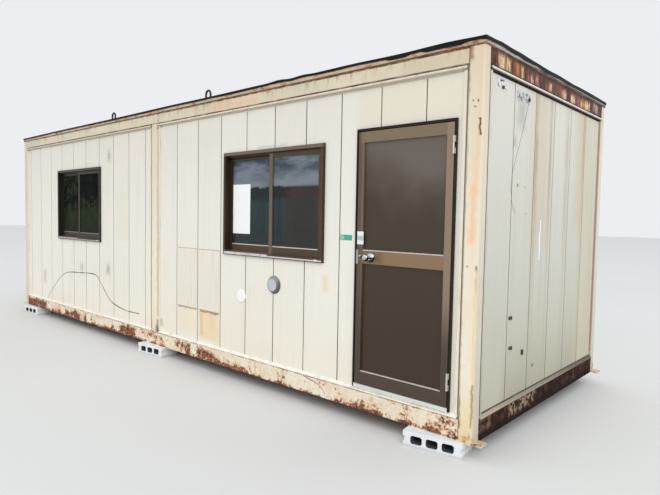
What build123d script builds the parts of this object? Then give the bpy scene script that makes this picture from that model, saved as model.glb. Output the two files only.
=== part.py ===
from build123d import *
import os

# Portable steel site cabin on loose concrete blocks. Millimetres, +Z up, the long front wall faces -Y.
# The origin is on the ground under the middle of the cabin. The door is at the +X end of the front wall.

# Whole cabin
LENGTH = 7200.0
WIDTH = 2300.0
FRAME_HEIGHT = 2360.0

# Steel frame
FLOOR_BEAM_HEIGHT = 130.0
ROOF_BEAM_HEIGHT = 100.0
BEAM_FLANGE = 65.0
BEAM_STEEL = 4.5
CORNER_POST_WIDTH = 103.0
CORNER_POST_DEPTH = 77.0
MIDDLE_POST = 132.0
POST_STEEL = 3.2
POST_ROUNDING = 12.0
JOIST_FLANGE = 45.0
JOIST_STEEL = 3.2
JOIST_PITCH = 700.0
JOIST_MARGIN = 500.0

# Foot plates under the corner posts, which stick out past the ends
FOOT_PLATE = 9.0
FOOT_REACH = 60.0
FOOT_FRONT_REACH = 15.0
FOOT_BOLT_HOLE = 18.0

# Walls of ribbed sheet over a core, set back from the steel
WALL_THICKNESS = 50.0
WALL_SETBACK = 12.0
GROOVE_PITCH = 352.0
LEFT_GROOVE_MARGIN = 137.5
RIGHT_GROOVE_MARGIN = 326.5
END_GROOVE_PITCH = 350.0
END_GROOVE_MARGIN = 373.0
GROOVE_WIDTH = 9.0
GROOVE_DEPTH = 7.0
FLOOR_BOARD = 15.0
CEILING_BOARD = 9.0

# Sheet strips that frame each bay: at its head over a drip slot, at its foot and up its sides
STRIP_STEEL = 2.0
STRIP_LIP = 6.0
HEAD_STRIP_HEIGHT = 18.0
HEAD_STRIP_GAP = 6.0
HEAD_SLOT_HEIGHT = 12.0
HEAD_SLOT_DEPTH = 8.0
BASE_STRIP_HEIGHT = 22.0
BASE_STRIP_GAP = 5.0
SIDE_STRIP_WIDTH = 24.0
SIDE_STRIP_GAP = 5.0
SIDE_STRIP_PROUD = 10.0

# Roof
ROOF_CORE = 48.0
ROOF_SHEET = 2.0
ROOF_OVERHANG = 10.0
ROOF_FOLD = 20.0
ROOF_LIP = 6.0
ROOF_LIP_HEIGHT = 26.0
ROOF_LIP_RISE = 2.0
ROOF_SEAM_PITCH = 480.0
ROOF_SEAM_MARGIN = 100.0
ROOF_SEAM_WIDTH = 26.0
ROOF_SEAM_HEIGHT = 8.0
ROOF_SEAM_INSET = 70.0

# Lifting eyes, bent from round bar and welded on the long roof beams
BAR_SIDES = 8
EYE_SPACING = 1790.0
EYE_SETBACK = 12.0
EYE_BAR = 16.0
EYE_WIDTH = 84.0
EYE_RISE = 74.0
EYE_FIT = 0.3

# Sliding windows: a frame with a lip round it, and two sashes that pass each other on two rails
WINDOW_WIDTH = 1200.0
WINDOW_HEIGHT = 884.0
WINDOW_SILL = 1006.0
LEFT_WINDOW_MARGIN = 1083.0
RIGHT_WINDOW_MARGIN = 309.0
WINDOW_LIP = 12.0
WINDOW_FACE = 28.0
WINDOW_PROUD = 18.0
WINDOW_INNER_PROUD = 10.0
SASH_DEPTH = 24.0
SASH_GAP = 3.0
SASH_RUN = 3.0
SASH_LIFT = 6.0
SASH_STILE = 40.0
SASH_TOP_RAIL = 36.0
SASH_BOTTOM_RAIL = 61.0
SASH_OVERLAP = 40.0
SASH_FIT = 0.3
RAIL_WIDTH = 4.0
RAIL_FIT = 1.0
RAIL_HEIGHT = 12.0
GUIDE_DROP = 14.0
GLASS = 5.0
GLASS_BITE = 8.0

# Door set: frame and sill, leaf with three rails, two flat panels, knob lock and two hinges
DOOR_WIDTH = 772.0
DOOR_HEIGHT = 1799.0
DOOR_RIGHT_MARGIN = 62.0
DOOR_JAMB_FACE = 11.5
DOOR_HEAD_FACE = 17.0
DOOR_SILL_FACE = 28.0
DOOR_SILL_SLOPE = 4.0
DOOR_FRAME_PROUD = 18.0
DOOR_FRAME_DEPTH = 78.0
DOOR_STOP = 12.0
DOOR_LEAF = 35.0
DOOR_GAP = 5.0
DOOR_LOCK_GAP = 8.0
DOOR_STILE = 48.0
DOOR_TOP_RAIL = 73.0
DOOR_MIDDLE_RAIL = 90.0
DOOR_MIDDLE_RAIL_HEIGHT = 841.0
DOOR_BOTTOM_RAIL = 85.0
DOOR_PANEL = 6.0
PANEL_BITE = 10.0
HINGE_RADIUS = 6.0
HINGE_PIN_RADIUS = 3.0
HINGE_PIN_FIT = 0.1
HINGE_LENGTH = 108.0
HINGE_TOP_MARGIN = 84.0
HINGE_BOTTOM_MARGIN = 102.0
HINGE_PLATE = 2.5
HINGE_PLATE_WIDTH = 10.0
HINGE_KNUCKLE_GAP = 0.3
KNOB_BACKSET = 122.0
KNOB_RADIUS = 23.0
KNOB_REACH = 72.0
KNOB_GRIP = 36.0
KNOB_NECK = 11.0
KNOB_FIT = 0.1
ROSE_RADIUS = 34.0
ROSE_DEPTH = 18.0
ROSE_GAP = 1.0
SPINDLE_RADIUS = 6.0
SPINDLE_HOLE = 9.0
LOCK_PLATE_HEIGHT = 98.0
LOCK_PLATE_STEEL = 1.5
LOCK_PLATE_LIP = 11.0

# Round fittings on the wall, placed from the middle and the foot of the right window
VENT_RADIUS = 74.0
VENT_FLANGE = 5.0
VENT_CAP_RADIUS = 62.0
VENT_DEPTH = 26.0
VENT_SHIFT = 60.0
VENT_DROP = 213.0
COVER_RADIUS = 56.0
COVER_DEPTH = 14.0
COVER_SHIFT = -357.0
COVER_DROP = 349.0

# Concrete blocks laid flat under the long sides, with their cores facing out
BLOCK_LENGTH = 390.0
BLOCK_DEPTH = 190.0
BLOCK_THICKNESS = 100.0
CORE_COUNT = 3
CORE_WIDTH = 78.0
CORE_HEIGHT = 52.0
CORE_BEVEL = 10.0
CORE_PITCH = 104.0
END_GROOVE_WIDTH = 44.0
END_GROOVE_DEPTH = 11.0
BLOCK_PROUD = 62.0
LEFT_BLOCK_INSET = 350.0
RIGHT_BLOCK_INSET = 260.0
LEFT_BLOCK_TURN = 5.5
MIDDLE_BLOCK_TURN = 6.5
RIGHT_BLOCK_TURN = 10.0

frame_base = BLOCK_THICKNESS
floor_top = frame_base + FLOOR_BEAM_HEIGHT
roof_beam_top = frame_base + FRAME_HEIGHT
roof_beam_base = roof_beam_top - ROOF_BEAM_HEIGHT
half_length = LENGTH / 2
half_width = WIDTH / 2
post_face_x = half_length - CORNER_POST_WIDTH
post_face_y = half_width - CORNER_POST_DEPTH
wall_outer_y = half_width - WALL_SETBACK
wall_inner_y = wall_outer_y - WALL_THICKNESS
wall_outer_x = half_length - WALL_SETBACK
wall_inner_x = wall_outer_x - WALL_THICKNESS
middle_post_edge = MIDDLE_POST / 2
head_strip_top = roof_beam_base - HEAD_STRIP_GAP
head_strip_base = head_strip_top - HEAD_STRIP_HEIGHT
base_strip_base = floor_top + BASE_STRIP_GAP
base_strip_top = base_strip_base + BASE_STRIP_HEIGHT
door_right = post_face_x - DOOR_RIGHT_MARGIN
door_left = door_right - DOOR_WIDTH
door_base = base_strip_top
door_top = door_base + DOOR_HEIGHT
window_base = frame_base + WINDOW_SILL
window_top = window_base + WINDOW_HEIGHT
left_window_middle = -post_face_x + LEFT_WINDOW_MARGIN + WINDOW_WIDTH / 2
right_window_middle = door_left - RIGHT_WINDOW_MARGIN - WINDOW_WIDTH / 2

os.makedirs("parts", exist_ok=True)


def slab(x0, x1, y0, y1, z0, z1):
    """A block between two corners."""
    centre = Pos((x0 + x1) / 2, (y0 + y1) / 2, (z0 + z1) / 2)
    return centre * Box(x1 - x0, y1 - y0, z1 - z0)


def run_along_x(outline, x0, x1):
    """A section drawn in Y and Z, run along X."""
    section = make_face(Polyline(*outline, close=True))
    plane = Plane(origin=(x0, 0, 0), x_dir=(0, 1, 0), z_dir=(1, 0, 0))
    return extrude(plane * section, x1 - x0)


def run_along_y(outline, y0, y1):
    """A section drawn in X and Z, run along Y."""
    section = make_face(Polyline(*outline, close=True))
    plane = Plane(origin=(0, y1, 0), x_dir=(1, 0, 0), z_dir=(0, -1, 0))
    return extrude(plane * section, y1 - y0)


def small_bar(radius):
    """Section of a small bar or pin, with flats inside its radius."""
    return RegularPolygon(radius, BAR_SIDES)


def small_bore(radius):
    """Section of the hole for a small bar or pin, with flats outside its radius."""
    return RegularPolygon(radius, BAR_SIDES, major_radius=False)


def spread(length, pitch):
    """Places about the middle, a pitch apart, as many as the length holds."""
    steps = int(length / pitch)
    return [(i - steps / 2) * pitch for i in range(steps + 1)]


def save(name, *solids):
    """Write one named piece, of one solid or of several that don't touch."""
    shape = solids[0] if len(solids) == 1 else Compound(children=list(solids))
    export_step(shape, "parts/" + name + ".step")


def channel(edge, inward, base, height, steel, flange):
    """Section of a channel whose back stands at edge and whose flanges point inward."""
    back = edge + inward * steel
    tip = edge + inward * flange
    top = base + height
    return [
        (edge, base),
        (tip, base),
        (tip, base + steel),
        (back, base + steel),
        (back, top - steel),
        (tip, top - steel),
        (tip, top),
        (edge, top),
    ]


# Floor and roof beams: channels between the corner posts, open to the inside

def frame_beams(level, base, height):
    front = channel(-half_width, 1, base, height, BEAM_STEEL, BEAM_FLANGE)
    back = channel(half_width, -1, base, height, BEAM_STEEL, BEAM_FLANGE)
    left = channel(-half_length, 1, base, height, BEAM_STEEL, BEAM_FLANGE)
    right = channel(half_length, -1, base, height, BEAM_STEEL, BEAM_FLANGE)
    save("front_" + level + "_beam", run_along_x(front, -post_face_x, post_face_x))
    save("back_" + level + "_beam", run_along_x(back, -post_face_x, post_face_x))
    save("left_" + level + "_beam", run_along_y(left, -post_face_y, post_face_y))
    save("right_" + level + "_beam", run_along_y(right, -post_face_y, post_face_y))


frame_beams("floor", frame_base, FLOOR_BEAM_HEIGHT)
frame_beams("roof", roof_beam_base, ROOF_BEAM_HEIGHT)


# Floor joists: channels across the cabin, coped to pass under the top flanges of the long beams

def floor_joist(x):
    base = frame_base + BEAM_STEEL
    reach = half_width - BEAM_STEEL
    section = channel(x, 1, base, floor_top - base, JOIST_STEEL, JOIST_FLANGE)
    joist = run_along_y(section, -reach, reach)
    for side in (-1, 1):
        inner = side * (half_width - BEAM_FLANGE)
        outer = side * half_width
        low, high = min(inner, outer), max(inner, outer)
        joist -= slab(x - 1, x + JOIST_FLANGE + 1, low, high, floor_top - BEAM_STEEL, floor_top + 1)
    return joist


save("floor_joists", *[floor_joist(x) for x in spread(LENGTH - 2 * JOIST_MARGIN, JOIST_PITCH)])


def post_tube(width, depth):
    """Section of a tube, rounded outside and with flats across its inner corners."""
    hollow = Rectangle(width - 2 * POST_STEEL, depth - 2 * POST_STEEL)
    hollow = chamfer(hollow.vertices(), (POST_ROUNDING - POST_STEEL) * (2 - 2 ** 0.5))
    return RectangleRounded(width, depth, POST_ROUNDING) - hollow


# Corner posts: rounded tubes, each standing on a foot plate with one bolt hole

def corner_post(side_x, side_y):
    centre_x = side_x * (half_length - CORNER_POST_WIDTH / 2)
    centre_y = side_y * (half_width - CORNER_POST_DEPTH / 2)
    tube = post_tube(CORNER_POST_WIDTH, CORNER_POST_DEPTH)
    post_base = frame_base + FOOT_PLATE
    post = Pos(centre_x, centre_y, post_base) * extrude(tube, roof_beam_top - post_base)
    inside_x = side_x * post_face_x
    outside_x = side_x * (half_length + FOOT_REACH)
    inside_y = side_y * post_face_y
    outside_y = side_y * (half_width + FOOT_FRONT_REACH)
    plate = slab(
        min(inside_x, outside_x),
        max(inside_x, outside_x),
        min(inside_y, outside_y),
        max(inside_y, outside_y),
        frame_base,
        post_base,
    )
    corners = plate.edges().filter_by(Axis.Z).sort_by(Axis.X)
    plate = fillet(corners[-2:] if side_x > 0 else corners[:2], POST_ROUNDING)
    hole_x = side_x * (half_length + FOOT_REACH / 2)
    plate -= Pos(hole_x, centre_y, frame_base) * Cylinder(FOOT_BOLT_HOLE / 2, 4 * FOOT_PLATE)
    return post + plate


save("front_right_post", corner_post(1, -1))
save("front_left_post", corner_post(-1, -1))
save("back_right_post", corner_post(1, 1))
save("back_left_post", corner_post(-1, 1))


# Middle posts: flat tubes between the long floor and roof beams, as deep as the wall reaches

def middle_post(side):
    depth = WALL_SETBACK + WALL_THICKNESS
    tube = post_tube(MIDDLE_POST, depth)
    return Pos(0, side * (half_width - depth / 2), floor_top) * extrude(tube, roof_beam_base - floor_top)


save("front_middle_post", middle_post(-1))
save("back_middle_post", middle_post(1))


# Boards of the floor and the ceiling, notched round the corner posts

def board(reach_x, reach_y, base, thickness):
    sheet = slab(-reach_x, reach_x, -reach_y, reach_y, base, base + thickness)
    for side_x in (-1, 1):
        for side_y in (-1, 1):
            corner = Pos(side_x * half_length, side_y * half_width, base)
            sheet -= corner * Box(2 * CORNER_POST_WIDTH, 2 * CORNER_POST_DEPTH, 4 * thickness)
    return sheet


save("floor_board", board(wall_inner_x, wall_inner_y, floor_top, FLOOR_BOARD))
ceiling_base = roof_beam_base + BEAM_STEEL
save("ceiling_board", board(half_length - BEAM_STEEL, half_width - BEAM_STEEL, ceiling_base, CEILING_BOARD))


# Walls: sheet with an upright groove at every joint, and a drip slot right under the head strip

head_slot_middle = head_strip_base - HEAD_SLOT_HEIGHT / 2
groove_middle = frame_base + FRAME_HEIGHT / 2


def groove_places(first, last, pitch):
    """Places from first up to last, a pitch apart."""
    count = int((last - first) / pitch) + 1
    return [first + i * pitch for i in range(count)]


def long_wall(side, x0, x1, z0, z1, grooves):
    face = side * wall_outer_y
    low = min(face, side * wall_inner_y)
    high = max(face, side * wall_inner_y)
    wall = slab(x0, x1, low, high, z0, z1)
    for x in grooves:
        if x0 + GROOVE_WIDTH < x < x1 - GROOVE_WIDTH:
            wall -= Pos(x, face, groove_middle) * Box(GROOVE_WIDTH, 2 * GROOVE_DEPTH, FRAME_HEIGHT)
    return wall - Pos(0, face, head_slot_middle) * Box(LENGTH, 2 * HEAD_SLOT_DEPTH, HEAD_SLOT_HEIGHT)


def window_hole(centre):
    reach = WINDOW_WIDTH / 2 - WINDOW_LIP
    base = window_base + WINDOW_LIP
    top = window_top - WINDOW_LIP
    return slab(centre - reach, centre + reach, -half_width, -wall_inner_y + 1, base, top)


last_groove = post_face_x - SIDE_STRIP_GAP - SIDE_STRIP_WIDTH - GROOVE_WIDTH
left_grooves = [-x for x in groove_places(middle_post_edge + LEFT_GROOVE_MARGIN, last_groove, GROOVE_PITCH)]
right_grooves = groove_places(middle_post_edge + RIGHT_GROOVE_MARGIN, last_groove, GROOVE_PITCH)

left_wall = long_wall(-1, -post_face_x, -middle_post_edge, floor_top, roof_beam_base, left_grooves)
save("front_wall_left_bay", left_wall - window_hole(left_window_middle))
right_wall = long_wall(-1, middle_post_edge, door_left, floor_top, roof_beam_base, right_grooves)
save("front_wall_right_bay", right_wall - window_hole(right_window_middle))
save("front_wall_over_door", long_wall(-1, door_left, door_right, door_top, roof_beam_base, right_grooves))
save("front_wall_beside_door", long_wall(-1, door_right, post_face_x, floor_top, roof_beam_base, []))
save("door_step", long_wall(-1, door_left, door_right, floor_top, door_base, []))

back_left_wall = long_wall(1, -post_face_x, -middle_post_edge, floor_top, roof_beam_base, left_grooves)
back_right_wall = long_wall(1, middle_post_edge, post_face_x, floor_top, roof_beam_base, right_grooves)
save("back_wall_left_bay", back_left_wall)
save("back_wall_right_bay", back_right_wall)


def end_wall(side):
    face = side * wall_outer_x
    low = min(face, side * wall_inner_x)
    high = max(face, side * wall_inner_x)
    wall = slab(low, high, -post_face_y, post_face_y, floor_top, roof_beam_base)
    last = post_face_y - SIDE_STRIP_GAP - SIDE_STRIP_WIDTH - GROOVE_WIDTH
    for y in groove_places(-post_face_y + END_GROOVE_MARGIN, last, END_GROOVE_PITCH):
        wall -= Pos(face, y, groove_middle) * Box(2 * GROOVE_DEPTH, GROOVE_WIDTH, FRAME_HEIGHT)
    return wall - Pos(face, 0, head_slot_middle) * Box(2 * HEAD_SLOT_DEPTH, WIDTH, HEAD_SLOT_HEIGHT)


save("left_end_wall", end_wall(-1))
save("right_end_wall", end_wall(1))


# Head strips are angles fixed to the wall over the drip slot, with a lip in front of the roof beam

def head_section(edge, inward):
    face = edge - inward * STRIP_LIP
    wall = edge + inward * WALL_SETBACK
    return [
        (face, head_strip_base),
        (face + inward * STRIP_STEEL, head_strip_base),
        (face + inward * STRIP_STEEL, head_strip_top - STRIP_STEEL),
        (wall, head_strip_top - STRIP_STEEL),
        (wall, head_strip_top),
        (face, head_strip_top),
    ]


# Base strips stand on the floor beam against the wall, and their ledge stays clear over the beam

def base_section(edge, inward):
    face = edge - inward * STRIP_LIP
    wall = edge + inward * WALL_SETBACK
    back = wall - inward * STRIP_STEEL
    return [
        (wall, floor_top),
        (wall, base_strip_top),
        (back, base_strip_top),
        (back, base_strip_top - BASE_STRIP_HEIGHT / 2),
        (face + inward * STRIP_STEEL, base_strip_base + BASE_STRIP_HEIGHT / 3),
        (face, base_strip_base + BASE_STRIP_HEIGHT / 3),
        (face, base_strip_base),
        (back, base_strip_base),
        (back, floor_top),
    ]


def strip_set(section):
    front = section(-half_width, 1)
    back = section(half_width, -1)
    left = section(-half_length, 1)
    right = section(half_length, -1)
    return [
        run_along_x(front, -post_face_x, -middle_post_edge),
        run_along_x(front, middle_post_edge, post_face_x),
        run_along_x(back, -post_face_x, -middle_post_edge),
        run_along_x(back, middle_post_edge, post_face_x),
        run_along_y(left, -post_face_y, post_face_y),
        run_along_y(right, -post_face_y, post_face_y),
    ]


save("head_strips", *strip_set(head_section))
save("base_strips", *strip_set(base_section))


# Side strips: upright channels with their open side to the wall, a gap away from the posts

def side_strip(side, start, wall, along_x):
    face = wall + SIDE_STRIP_PROUD
    inner = face - STRIP_STEEL
    end = start + SIDE_STRIP_WIDTH
    section = [
        (start, wall),
        (start, face),
        (end, face),
        (end, wall),
        (end - STRIP_STEEL, wall),
        (end - STRIP_STEEL, inner),
        (start + STRIP_STEEL, inner),
        (start + STRIP_STEEL, wall),
    ]
    outline = [(u, side * v) if along_x else (side * v, u) for u, v in section]
    profile = make_face(Polyline(*outline, close=True))
    strip = extrude(profile, head_strip_base - base_strip_top, dir=(0, 0, 1))
    return Pos(0, 0, base_strip_top) * strip


def side_strips():
    after_post = SIDE_STRIP_GAP
    before_post = -SIDE_STRIP_GAP - SIDE_STRIP_WIDTH
    long_starts = (
        -post_face_x + after_post,
        -middle_post_edge + before_post,
        middle_post_edge + after_post,
        post_face_x + before_post,
    )
    end_starts = (-post_face_y + after_post, post_face_y + before_post)
    on_long_walls = [side_strip(side, start, wall_outer_y, True) for side in (-1, 1) for start in long_starts]
    on_end_walls = [side_strip(side, start, wall_outer_x, False) for side in (-1, 1) for start in end_starts]
    return on_long_walls + on_end_walls


save("side_strips", *side_strips())


# Lifting eyes: hoops of bar in line with the long beams, whose legs pass through the roof

roof_core_top = roof_beam_top + ROOF_CORE
roof_top = roof_core_top + ROOF_SHEET
eye_middle = half_width - EYE_SETBACK
eye_leg = (EYE_WIDTH - EYE_BAR) / 2
eye_places = [(x, side * eye_middle) for side in (-1, 1) for x in (-EYE_SPACING / 2, EYE_SPACING / 2)]


def lifting_eye(x, y):
    spring = roof_top + EYE_RISE - EYE_WIDTH / 2
    near = Vector(x - eye_leg, y, spring)
    crown = Vector(x, y, spring + eye_leg)
    far = Vector(x + eye_leg, y, spring)
    drop = Vector(0, 0, roof_beam_top - spring)
    path = Wire([Line(near + drop, near), ThreePointArc(near, crown, far), Line(far, far + drop)])
    bar = Plane(origin=near + drop, z_dir=(0, 0, 1)) * small_bar(EYE_BAR / 2)
    return sweep(bar, path=path)


def eye_holes():
    """Holes for the eyes' legs, through the core and the sheet."""
    hole = extrude(small_bore(EYE_BAR / 2 + EYE_FIT), 4 * (ROOF_CORE + ROOF_SHEET), dir=(0, 0, 1))
    below = roof_beam_top - ROOF_CORE
    return [Pos(x + side * eye_leg, y, below) * hole for x, y in eye_places for side in (-1, 1)]


save("front_lifting_eyes", *[lifting_eye(x, y) for x, y in eye_places if y < 0])
save("back_lifting_eyes", *[lifting_eye(x, y) for x, y in eye_places if y > 0])


# Roof: a core on the beams with a lip round its foot, and a folded sheet over it with raised seams across

def roof_core():
    core = slab(-half_length, half_length, -half_width, half_width, roof_beam_top, roof_core_top)
    lip_base = roof_beam_top + ROOF_LIP_RISE
    lip_x = half_length + ROOF_LIP
    lip_y = half_width + ROOF_LIP
    lip = slab(-lip_x, lip_x, -lip_y, lip_y, lip_base, lip_base + ROOF_LIP_HEIGHT)
    core += fillet(lip.edges().filter_by(Axis.Z), ROOF_LIP)
    for hole in eye_holes():
        core -= hole
    return core


def roof_sheet():
    reach_x = half_length + ROOF_OVERHANG
    reach_y = half_width + ROOF_OVERHANG
    pan = slab(-reach_x, reach_x, -reach_y, reach_y, roof_top - ROOF_FOLD, roof_top)
    pan = fillet(pan.edges().filter_by(Axis.Z), ROOF_OVERHANG)
    inside_x = reach_x - ROOF_SHEET
    inside_y = reach_y - ROOF_SHEET
    hollow = slab(-inside_x, inside_x, -inside_y, inside_y, roof_top - 2 * ROOF_FOLD, roof_core_top)
    pan -= fillet(hollow.edges().filter_by(Axis.Z), ROOF_OVERHANG - ROOF_SHEET)
    half = ROOF_SEAM_WIDTH / 2
    seam_y = reach_y - ROOF_SEAM_INSET
    for x in spread(LENGTH - 2 * ROOF_SEAM_MARGIN, ROOF_SEAM_PITCH):
        pan += slab(x - half, x + half, -seam_y, seam_y, roof_core_top, roof_top + ROOF_SEAM_HEIGHT)
    for hole in eye_holes():
        pan -= hole
    return pan


save("roof_core", roof_core())
save("roof_sheet", roof_sheet())


# Windows: a frame whose head and sill carry two rails each, two sashes that pass each other, and their panes

window_inner_x = WINDOW_WIDTH / 2 - WINDOW_FACE
window_inner_base = window_base + WINDOW_FACE
window_inner_top = window_top - WINDOW_FACE
window_front = -wall_outer_y - WINDOW_PROUD
window_back = -wall_inner_y + WINDOW_INNER_PROUD
outer_sash_front = -wall_outer_y + SASH_GAP
inner_sash_front = outer_sash_front + SASH_DEPTH + SASH_GAP
rail_top = window_inner_base + RAIL_HEIGHT
guide_tip = window_inner_top - GUIDE_DROP
sash_base = window_inner_base + SASH_RUN
sash_top = window_inner_top - SASH_LIFT


def frame_member(lip_box, body_box):
    """A lip in front of the wall and the body behind it, which fills the hole."""
    return slab(*lip_box) + slab(*body_box)


def sash_rails(x0, x1, z0, z1):
    """The two upstands that the sashes run on, or the two that guide their heads."""
    middles = [front + SASH_DEPTH / 2 for front in (outer_sash_front, inner_sash_front)]
    return [slab(x0, x1, y - RAIL_WIDTH / 2, y + RAIL_WIDTH / 2, z0, z1) for y in middles]


def window_head_and_sill(middle):
    """The frame's two long members, over and under the jambs."""
    lip = (middle - WINDOW_WIDTH / 2, middle + WINDOW_WIDTH / 2, window_front, -wall_outer_y)
    body_reach = WINDOW_WIDTH / 2 - WINDOW_LIP
    body = (middle - body_reach, middle + body_reach, -wall_outer_y, window_back)
    inside = (middle - window_inner_x, middle + window_inner_x)
    head = frame_member(
        (*lip, window_inner_top, window_top),
        (*body, window_inner_top, window_top - WINDOW_LIP),
    )
    for rail in sash_rails(*inside, guide_tip, window_inner_top):
        head += rail
    sill = frame_member(
        (*lip, window_base, window_inner_base),
        (*body, window_base + WINDOW_LIP, window_inner_base),
    )
    for rail in sash_rails(*inside, window_inner_base, rail_top):
        sill += rail
    return head, sill


def window_jambs(middle):
    jambs = []
    for side in (-1, 1):
        inner = middle + side * window_inner_x
        lip_edge = middle + side * WINDOW_WIDTH / 2
        body_edge = lip_edge - side * WINDOW_LIP
        height = (window_inner_base, window_inner_top)
        jambs.append(frame_member(
            (min(inner, lip_edge), max(inner, lip_edge), window_front, -wall_outer_y, *height),
            (min(inner, body_edge), max(inner, body_edge), -wall_outer_y, window_back, *height),
        ))
    return jambs


def sash_ends(middle, side):
    """Left and right edges of the sash that stands at one side of the window."""
    outer = middle + side * (window_inner_x - SASH_FIT)
    inner = middle - side * SASH_OVERLAP / 2
    return min(outer, inner), max(outer, inner)


def pane(middle, side, front):
    """The pane reaches into a groove all round its sash."""
    x0, x1 = sash_ends(middle, side)
    centre = front + SASH_DEPTH / 2
    return slab(
        x0 + SASH_STILE - GLASS_BITE,
        x1 - SASH_STILE + GLASS_BITE,
        centre - GLASS / 2,
        centre + GLASS / 2,
        sash_base + SASH_BOTTOM_RAIL - GLASS_BITE,
        sash_top - SASH_TOP_RAIL + GLASS_BITE,
    )


def sash(middle, side, front):
    """A sash with its glazing groove, and slots under and over it that take the rails."""
    x0, x1 = sash_ends(middle, side)
    leaf = slab(x0, x1, front, front + SASH_DEPTH, sash_base, sash_top)
    leaf -= slab(
        x0 + SASH_STILE,
        x1 - SASH_STILE,
        front - 1,
        front + SASH_DEPTH + 1,
        sash_base + SASH_BOTTOM_RAIL,
        sash_top - SASH_TOP_RAIL,
    )
    slot_middle = front + SASH_DEPTH / 2
    slot_reach = RAIL_WIDTH / 2 + RAIL_FIT
    slot = (slot_middle - slot_reach, slot_middle + slot_reach)
    leaf -= slab(x0 - 1, x1 + 1, *slot, sash_base - 1, rail_top)
    leaf -= slab(x0 - 1, x1 + 1, *slot, guide_tip - SASH_LIFT, sash_top + 1)
    return leaf - pane(middle, side, front)


for name, middle in (("left", left_window_middle), ("right", right_window_middle)):
    save(name + "_window_frame", *window_head_and_sill(middle))
    save(name + "_window_jambs", *window_jambs(middle))
    save(name + "_window_outer_sash", sash(middle, 1, outer_sash_front))
    save(name + "_window_inner_sash", sash(middle, -1, inner_sash_front))
    save(name + "_window_panes", pane(middle, 1, outer_sash_front), pane(middle, -1, inner_sash_front))


# Door frame: jambs and head round the leaf with a stop behind it, and a sloped sill between the jambs

door_front = -wall_outer_y - DOOR_FRAME_PROUD
door_back = door_front + DOOR_FRAME_DEPTH
inside_left = door_left + DOOR_JAMB_FACE
inside_right = door_right - DOOR_JAMB_FACE
inside_top = door_top - DOOR_HEAD_FACE
sill_top = door_base + DOOR_SILL_FACE
leaf_left = inside_left + DOOR_LOCK_GAP
leaf_right = inside_right - DOOR_GAP
leaf_base = sill_top + DOOR_GAP
leaf_top = inside_top - DOOR_GAP
leaf_back = door_front + DOOR_LEAF
stop_front = leaf_back + DOOR_GAP


def door_frame():
    frame = slab(door_left, door_right, door_front, door_back, door_base, door_top)
    frame -= slab(inside_left, inside_right, door_front - 1, stop_front, door_base - 1, inside_top)
    return frame - slab(
        inside_left + DOOR_STOP,
        inside_right - DOOR_STOP,
        stop_front - 1,
        door_back + 1,
        door_base - 1,
        inside_top - DOOR_STOP,
    )


def door_sill():
    section = [
        (door_front, door_base),
        (door_front, sill_top - DOOR_SILL_SLOPE),
        (stop_front, sill_top),
        (stop_front, sill_top + DOOR_STOP),
        (door_back, sill_top + DOOR_STOP),
        (door_back, door_base),
    ]
    rebated = run_along_x(section, inside_left, inside_right)
    for jamb_stop in ((inside_left, inside_left + DOOR_STOP), (inside_right - DOOR_STOP, inside_right)):
        rebated -= slab(*jamb_stop, stop_front, door_back + 1, door_base - 1, sill_top + DOOR_STOP + 1)
    return rebated


# Door leaf: two stiles and three rails, with flat panels between them

panel_left = leaf_left + DOOR_STILE
panel_right = leaf_right - DOOR_STILE
middle_rail_base = leaf_base + DOOR_MIDDLE_RAIL_HEIGHT
knob_x = leaf_left + KNOB_BACKSET
knob_z = middle_rail_base + DOOR_MIDDLE_RAIL / 2
panel_levels = (
    (leaf_base + DOOR_BOTTOM_RAIL, middle_rail_base),
    (middle_rail_base + DOOR_MIDDLE_RAIL, leaf_top - DOOR_TOP_RAIL),
)


def door_panels():
    """The panels reach into grooves in the stiles and the rails."""
    middle = door_front + DOOR_LEAF / 2
    near = middle - DOOR_PANEL / 2
    far = middle + DOOR_PANEL / 2
    sides = (panel_left - PANEL_BITE, panel_right + PANEL_BITE)
    return [slab(*sides, near, far, low - PANEL_BITE, high + PANEL_BITE) for low, high in panel_levels]


def along_spindle(section, face, side, start, end):
    """A section run along the spindle's line, between two distances out from a face of the leaf."""
    plane = Plane(origin=(knob_x, face + side * start, knob_z), x_dir=(1, 0, 0), z_dir=(0, side, 0))
    return extrude(plane * section, end - start)


def door_leaf():
    leaf = slab(leaf_left, leaf_right, door_front, leaf_back, leaf_base, leaf_top)
    for low, high in panel_levels:
        leaf -= slab(panel_left, panel_right, door_front - 1, leaf_back + 1, low, high)
    for panel in door_panels():
        leaf -= panel
    return leaf - along_spindle(small_bore(SPINDLE_HOLE), leaf_back, -1, -DOOR_LEAF, 2 * DOOR_LEAF)


# Hinges: on each, two knuckles on the frame hold the pin and one knuckle between them is on the leaf

hinge_x = (leaf_right + inside_right) / 2
hinge_y = door_front - HINGE_RADIUS - HINGE_PLATE
hinge_middles = (
    leaf_base + HINGE_BOTTOM_MARGIN + HINGE_LENGTH / 2,
    leaf_top - HINGE_TOP_MARGIN - HINGE_LENGTH / 2,
)


def knuckle(low, high, plate_end):
    """A knuckle, the web behind it and its plate along the face of the leaf or the frame."""
    barrel = Pos(hinge_x, hinge_y, (low + high) / 2) * Cylinder(HINGE_RADIUS, high - low)
    plate = slab(
        min(hinge_x, plate_end),
        max(hinge_x, plate_end),
        door_front - HINGE_PLATE,
        door_front,
        low,
        high,
    )
    half = HINGE_PLATE / 2
    web = slab(hinge_x - half, hinge_x + half, hinge_y, door_front - half, low, high)
    return barrel + plate + web


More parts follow.
